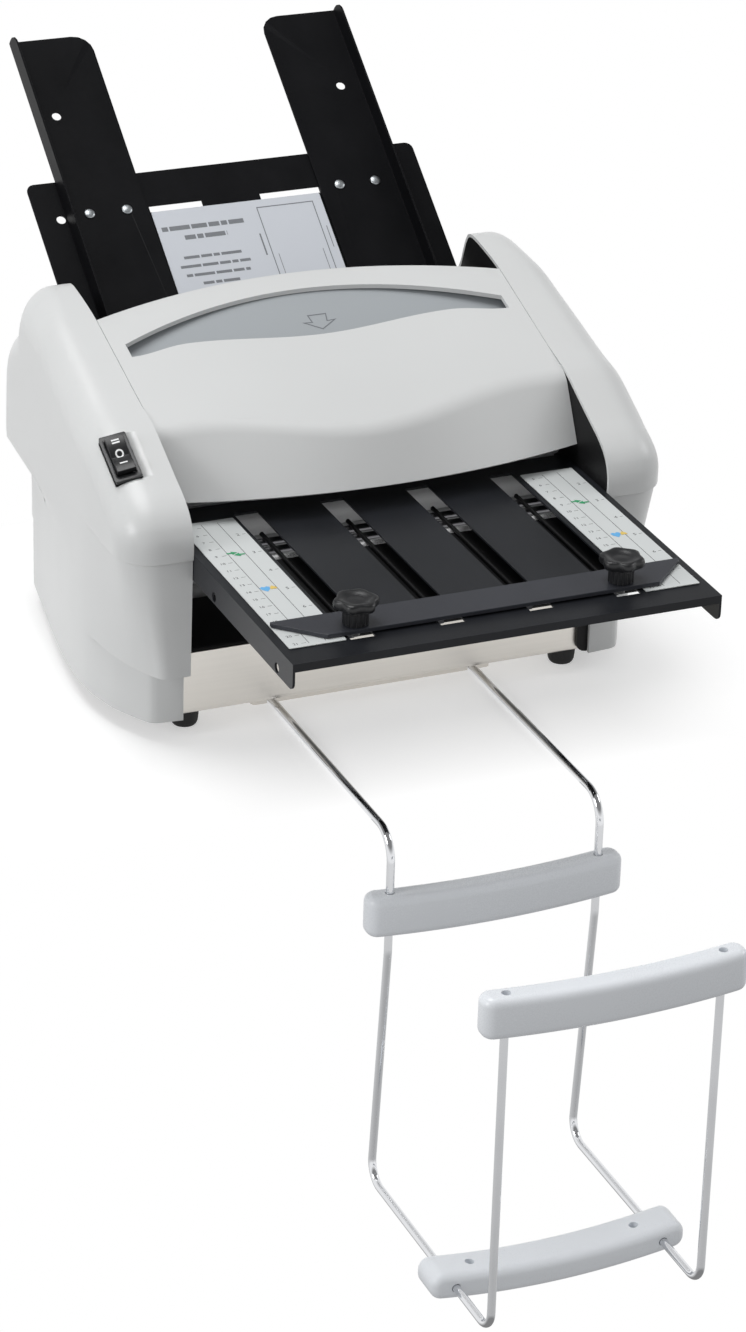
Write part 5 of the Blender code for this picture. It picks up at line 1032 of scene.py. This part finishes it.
def bar(name, node, matrix):
    sag = BAR_BOW * (WIRE_X / BAR_HALF) ** 2
    outer = [(s * BAR_HALF,
              BAR_BOW * s * s - sag - BAR_T / 2) for s in [i / 16 - 1 for i in range(33)]]
    inner = [(x, y + BAR_T) for x, y in outer]
    trimmed = [p for p in outer if abs(p[0]) < 71 * MM or abs(p[0]) == BAR_HALF]
    inner = [p for p in inner if abs(p[0]) < 71 * MM or abs(p[0]) == BAR_HALF]
    radii = [0.0] * (2 * len(trimmed))
    for i in (0, len(trimmed) - 1, len(trimmed), 2 * len(trimmed) - 1):
        radii[i] = BAR_CORNER
    obj = pillow(name, rounded(trimmed + inner[::-1], radii, 10), BAR_W / 2, BAR_SOFT)
    tools = []
    for side in (-1, 1):
        tools.append(turned("bore",
                            [(0, 30 * MM), (2.7 * MM, 30 * MM), (2.7 * MM, -30 * MM), (0,
                                                                                       -30 * MM)],
                            Matrix.Translation((side * WIRE_X, 0, 0)), 32))
        hole_y = BAR_BOW * (BAR_HOLE_X / BAR_HALF) ** 2 - sag + BAR_T / 2
        turn = place((1, 0, 0), (0, 0, -1), (0, 1, 0), (side * BAR_HOLE_X, hole_y, 0))
        tools.append(turned("blind",
                            [(0, 5 * MM), (2.8 * MM, 5 * MM), (2.8 * MM, -8 * MM), (0, -8 * MM)],
                            turn, 32))
    carve(obj, *tools)
    obj.data.transform(matrix)
    obj.data.shade_smooth()
    obj.data.set_sharp_from_angle(angle=radians(32))
    return mounted(obj, BAR_GREY, node)


bar("stacker_bar_top", "catcher_bar_top", Matrix.Translation((0, -262 * MM, -46.5 * MM)))
bar("stacker_bar_front", "catcher_bar_front", Matrix.Translation((0, -419 * MM, -25.5 * MM)))
bar("stacker_bar_bottom", "catcher_bar_bottom",
    place((1, 0, 0), (0, 0, 1), (0, -1, 0), (0, -359.7 * MM, -232.5 * MM)))

# %% [markdown]
# ## Rollers, guide rods and feet
# Through the windows of the fold tray the top roller and the chromed cross rods can be seen.
# They are turned with small chamfers, because a knife-sharp end never catches the light.

# %% Rollers
ROLLER_Y = -48.0 * MM
for n, name in enumerate(("exit_roller", "drive_roller", "fold_roller", "infeed_roller")):
    right_end = 145.4 * MM
    left_end = -(146.7 if name == "drive_roller" else 138.1) * MM
    half, r, j, c = 128.5 * MM, 12.5 * MM, 5.0 * MM, 0.6 * MM
    profile = [(0.0, right_end), (j - c, right_end), (j, right_end - c), (j, half), (r - c, half),
               (r, half - c), (r, -half + c), (r - c, -half), (j, -half), (j, left_end + c),
               (j - c, left_end), (0.0, left_end)]
    roller = turned(name + "_sleeve", profile, axis_frame(ROLLER_Y, (59.4 + 25.3 * n) * MM), 64)
    mounted(roller, ROLLER_RUBBER, name)
wheel = [(17.0, 19.2), (17.0, -19.2), (16.2, -20.0), (4.3, -20.0), (4.3, 20.0), (16.2, 20.0),
         (17.0, 19.2)]
mounted(turned("feed_wheel_tyre", [(r * MM, h * MM) for r, h in wheel],
               axis_frame(4.8 * MM, 139.093 * MM), 64), ROLLER_RUBBER, "feed_wheel")

# %% Guide rods and wires under the windows
rod_half = 129.4 * MM


def guide_rod(y):
    ends = [(0, rod_half), (1.9 * MM, rod_half), (2.3 * MM, rod_half - 0.4 * MM),
            (2.3 * MM, -rod_half + 0.4 * MM), (1.9 * MM, -rod_half), (0, -rod_half)]
    return turned("rod", ends, axis_frame(y * MM, 112.5 * MM), 32)


wires = []
for x in [s * at for at in (27.23, 81.7) for s in (-1, 1)]:
    for off in (-5.3, 5.3):
        wires.append(tube("wire", [((x + off) * MM, -86.4 * MM, 115.7 * MM),
                                   ((x + off) * MM, -226 * MM, 115.7 * MM)], 1.4 * MM, sides=4))
# The guide wires take the near-black inner coat, which is partly painted shade under the fold tray.
mounted(together("guide_wires", wires), INNER_BLACK, "lower_guide")
# Painted shade on the two rear rods and a painted highlight on the front rod, as dark and light
# copies of one rod finish.
mounted(together("guide_rods_rear", [guide_rod(-91), guide_rod(-103)]), SHADED_ROD, "lower_guide",
        False)
front_rod = guide_rod(-115)
front_rod.name = "guide_rod_front"
mounted(front_rod, LIT_ROD, "lower_guide", False)
print("guide wires:", len(wires))

# %% Feet
foot = [(0.0, 12.5), (8.0, 12.5), (8.5, 12.0), (8.5, 6.4), (8.1, 2.4), (7.4, 0.7), (6.8, 0.0),
        (0.0, 0.0)]
for label, sx, sy in (("front_left", -1, -1), ("front_right", 1, -1), ("rear_left", -1, 1),
                      ("rear_right", 1, 1)):
    mounted(turned("foot_pad_" + label, [(r * MM, h * MM) for r, h in foot],
                   Matrix.Translation((sx * 123 * MM, sy * 85 * MM,
                                       0)), 40), FOOT_RUBBER, "foot_" + label)

# %% [markdown]
# ## Finishes of the carried-over sheet metal
# Flat sheet parts already have their true shape in CAD, so they stay.  Imported meshes have
# split corners, so a weld comes first, then a bevel as wide as a deburred sheet edge, and then
# the finish.

# %% Sheet metal and small parts
def dress(finish, *names, edge=0.0):
    for name in names:
        node = frame["nodes"][name]
        node.data.materials.clear()
        node.data.materials.append(finish)
        if edge:
            weld = node.modifiers.new("weld", 'WELD')
            weld.merge_threshold = 0.005 * MM
            bevel = node.modifiers.new("edge", 'BEVEL')
            bevel.width, bevel.segments, bevel.limit_method = edge, 2, 'ANGLE'
            bevel.angle_limit, bevel.harden_normals = radians(50), True


dress(TRAY_BLACK, "fold_tray", edge=0.3 * MM)
dress(STOP_GREY, "stop_bar", edge=0.3 * MM)
dress(BLACK_SHEET, "feed_tray", "paper_guide_left", "paper_guide_right", edge=0.25 * MM)
dress(INNER_BLACK, "side_frame_left", "side_frame_right", "exit_chute", "fold_tray_floor",
      "rear_fold_plate")
# The grey of the pocket guide holds painted shade of the recess as well as its own colour.
dress(POCKET_GREY, "hand_feed_guide")
dress(PANEL_STEEL, "base_pan", "infeed_guide", edge=0.3 * MM)
dress(TURNED_STEEL, "feed_shaft", "drive_pulley", "motor_pulley", "separator_spring")
dress(NYLON, "exit_gear", "drive_gear", "fold_gear", "infeed_gear", "idler_gear", "feed_gear",
      "bearing_strip_left", "bearing_strip_right")
dress(FOOT_RUBBER, "separator_pad", "drive_belt")
dress(MOTOR_PAINT, "motor")
dress(BLACK_PLASTIC, "rear_stop_bar", "power_inlet", edge=0.3 * MM)

# %% [markdown]
# ## Stage, light and camera
# The machine stands on a white table whose edge lies under the fold tray, so that the stacker
# hangs free.  One broad lamp above and a dim white world give soft shadows.  Towards the
# camera the world is plain white, as in a studio cut-out.

# %% Table and backdrop
def white_stage(name):
    f = Finish(name, roughness=0.9, specular=0.1)
    cloud = f.noise(3.0, 2.0)
    f.wear(base_color=f.between(cloud, (0.68, 0.68, 0.68), (0.71, 0.71, 0.71)))
    path = f.tree.nodes.new("ShaderNodeLightPath")
    seen = Wire(f, path.outputs["Is Camera Ray"]) + Wire(f, path.outputs["Is Glossy Ray"])
    glow = f.node("ShaderNodeEmission", inputs={"Color": (1, 1, 1, 1), "Strength": 0.45})
    both = f.node("ShaderNodeAddShader", inputs={0: Wire(f, f.shader.outputs[0]), 1: glow})
    spot = f.node("ShaderNodeTexCoord", out="Object")
    x, y = (f.node("ShaderNodeSeparateXYZ", inputs={"Vector": spot}, out=axis) for axis in "XY")
    away = f.node("ShaderNodeMath", {"operation": 'MAXIMUM'},
                  {0: f.clamp(x * x, 0.034, 0.075), 1: f.clamp(y * y, 0.016, 0.046)})
    plain = f.node("ShaderNodeEmission", inputs={"Color": (1, 1, 1, 1), "Strength": 1.0})
    faded = f.node("ShaderNodeMixShader", inputs={0: away, 1: both, 2: plain})
    mixed = f.node("ShaderNodeMixShader", inputs={0: seen, 1: Wire(f, f.shader.outputs[0]),
                                                  2: faded})
    f.feed(f.tree.nodes["Material Output"].inputs["Surface"], mixed)
    return f.material


STAGE_WHITE = white_stage("stage_white")


def sheet_of_floor(name, x, y0, y1, z):
    bm = bmesh.new()
    bm.faces.new([bm.verts.new(p) for p in ((-x, y0, z), (x, y0, z), (x, y1, z), (-x, y1, z))])
    obj = loose(name, bm)
    obj.data.materials.append(STAGE_WHITE)
    return obj


sheet_of_floor("table_top", 6.0, -0.235, 9.0, 0.0)

# %% [markdown]
# ## A world with two faces
# Towards the camera the world is white.  Mirrors see it white near the horizon and dim above
# and below, as in a room with bright walls, because chrome in plain white has no outline.

# %% World
world = bpy.data.worlds.new("studio")
bpy.context.scene.world = world
world.use_nodes = True
tree = world.node_tree
for node in list(tree.nodes):
    tree.nodes.remove(node)
rays = tree.nodes.new("ShaderNodeLightPath")
plain, light = tree.nodes.new("ShaderNodeBackground"), tree.nodes.new("ShaderNodeBackground")
for shade in (plain, light):
    shade.inputs["Color"].default_value = (1.0, 1.0, 1.0, 1.0)
plain.inputs["Strength"].default_value, light.inputs["Strength"].default_value = 1.0, 0.42
dim = tree.nodes.new("ShaderNodeBackground")
dim.inputs["Color"].default_value, dim.inputs["Strength"].default_value = (1.0, 1.0, 1.0, 1.0), 0.26


def mixed(factor, low, high):
    mix = tree.nodes.new("ShaderNodeMixShader")
    for socket, wire in zip(mix.inputs, (factor, low, high)):
        tree.links.new(wire, socket)
    return mix.outputs[0]


toward, parts = tree.nodes.new("ShaderNodeTexCoord"), tree.nodes.new("ShaderNodeSeparateXYZ")
raised, steep = tree.nodes.new("ShaderNodeMath"), tree.nodes.new("ShaderNodeMath")
raised.operation, steep.operation = 'ADD', 'ABSOLUTE'
raised.inputs[1].default_value = 0.15
height = tree.nodes.new("ShaderNodeMapRange")
tree.links.new(toward.outputs["Generated"], parts.inputs[0])
tree.links.new(parts.outputs["Z"], raised.inputs[0])
tree.links.new(raised.outputs[0], steep.inputs[0])
tree.links.new(steep.outputs[0], height.inputs["Value"])
height.inputs["From Min"].default_value, height.inputs["From Max"].default_value = 0.20, 0.60
mirrored = mixed(height.outputs[0], plain.outputs[0], dim.outputs[0])
lit = mixed(rays.outputs["Is Glossy Ray"], light.outputs[0], mirrored)
clear = mixed(rays.outputs["Is Transmission Ray"], lit, plain.outputs[0])
output = tree.nodes.new("ShaderNodeOutputWorld")
tree.links.new(mixed(rays.outputs["Is Camera Ray"], clear, plain.outputs[0]), output.inputs[0])


# %% Lamps
def lamp(name, spot, target, size, power):
    data = bpy.data.lights.new(name, 'AREA')
    data.shape, data.size, data.energy = 'DISK', size, power
    obj = bpy.data.objects.new(name, data)
    bpy.context.scene.collection.objects.link(obj)
    obj.location = spot
    obj.rotation_euler = (Vector(target) - Vector(spot)).to_track_quat('-Z', 'Y').to_euler()


lamp("overhead", (-0.35, 0.25, 1.9), (0.0, -0.05, 0.1), 1.2, 19.0)
lamp("side_left", (-2.1, -0.5, 1.0), (0.0, -0.1, 0.1), 0.9, 14.5)
lamp("right_edge", (1.7, -0.3, 1.0), (0.0, -0.1, 0.1), 0.7, 5.0)
print("lamps:", len(bpy.data.lights))

# %% Camera
azimuth, elevation, roll = radians(25.75), radians(26.41), radians(2.62)
back = Vector((-sin(azimuth) * cos(elevation), -cos(azimuth) * cos(elevation), sin(elevation)))
right0 = Vector((cos(azimuth), -sin(azimuth), 0.0))
up0 = back.cross(right0)
right = right0 * cos(roll) + up0 * sin(roll)
up = up0 * cos(roll) - right0 * sin(roll)
data = bpy.data.cameras.new("photo_view")
data.sensor_fit, data.sensor_height = 'VERTICAL', 24.0
data.lens = 4441 / 1332 * 24
data.shift_x, data.shift_y = (373 - 509.9) / 1332, (679.5 - 666) / 1332
camera = bpy.data.objects.new("photo_view", data)
bpy.context.scene.collection.objects.link(camera)
camera.matrix_world = place(right, up, back, Vector((0.0, -0.270, 0.094 + 0.0)) + back * 2.4811)
bpy.context.scene.camera = camera
bpy.context.scene.view_settings.view_transform = 'Standard'

# %% The end
bpy.context.view_layer.update()
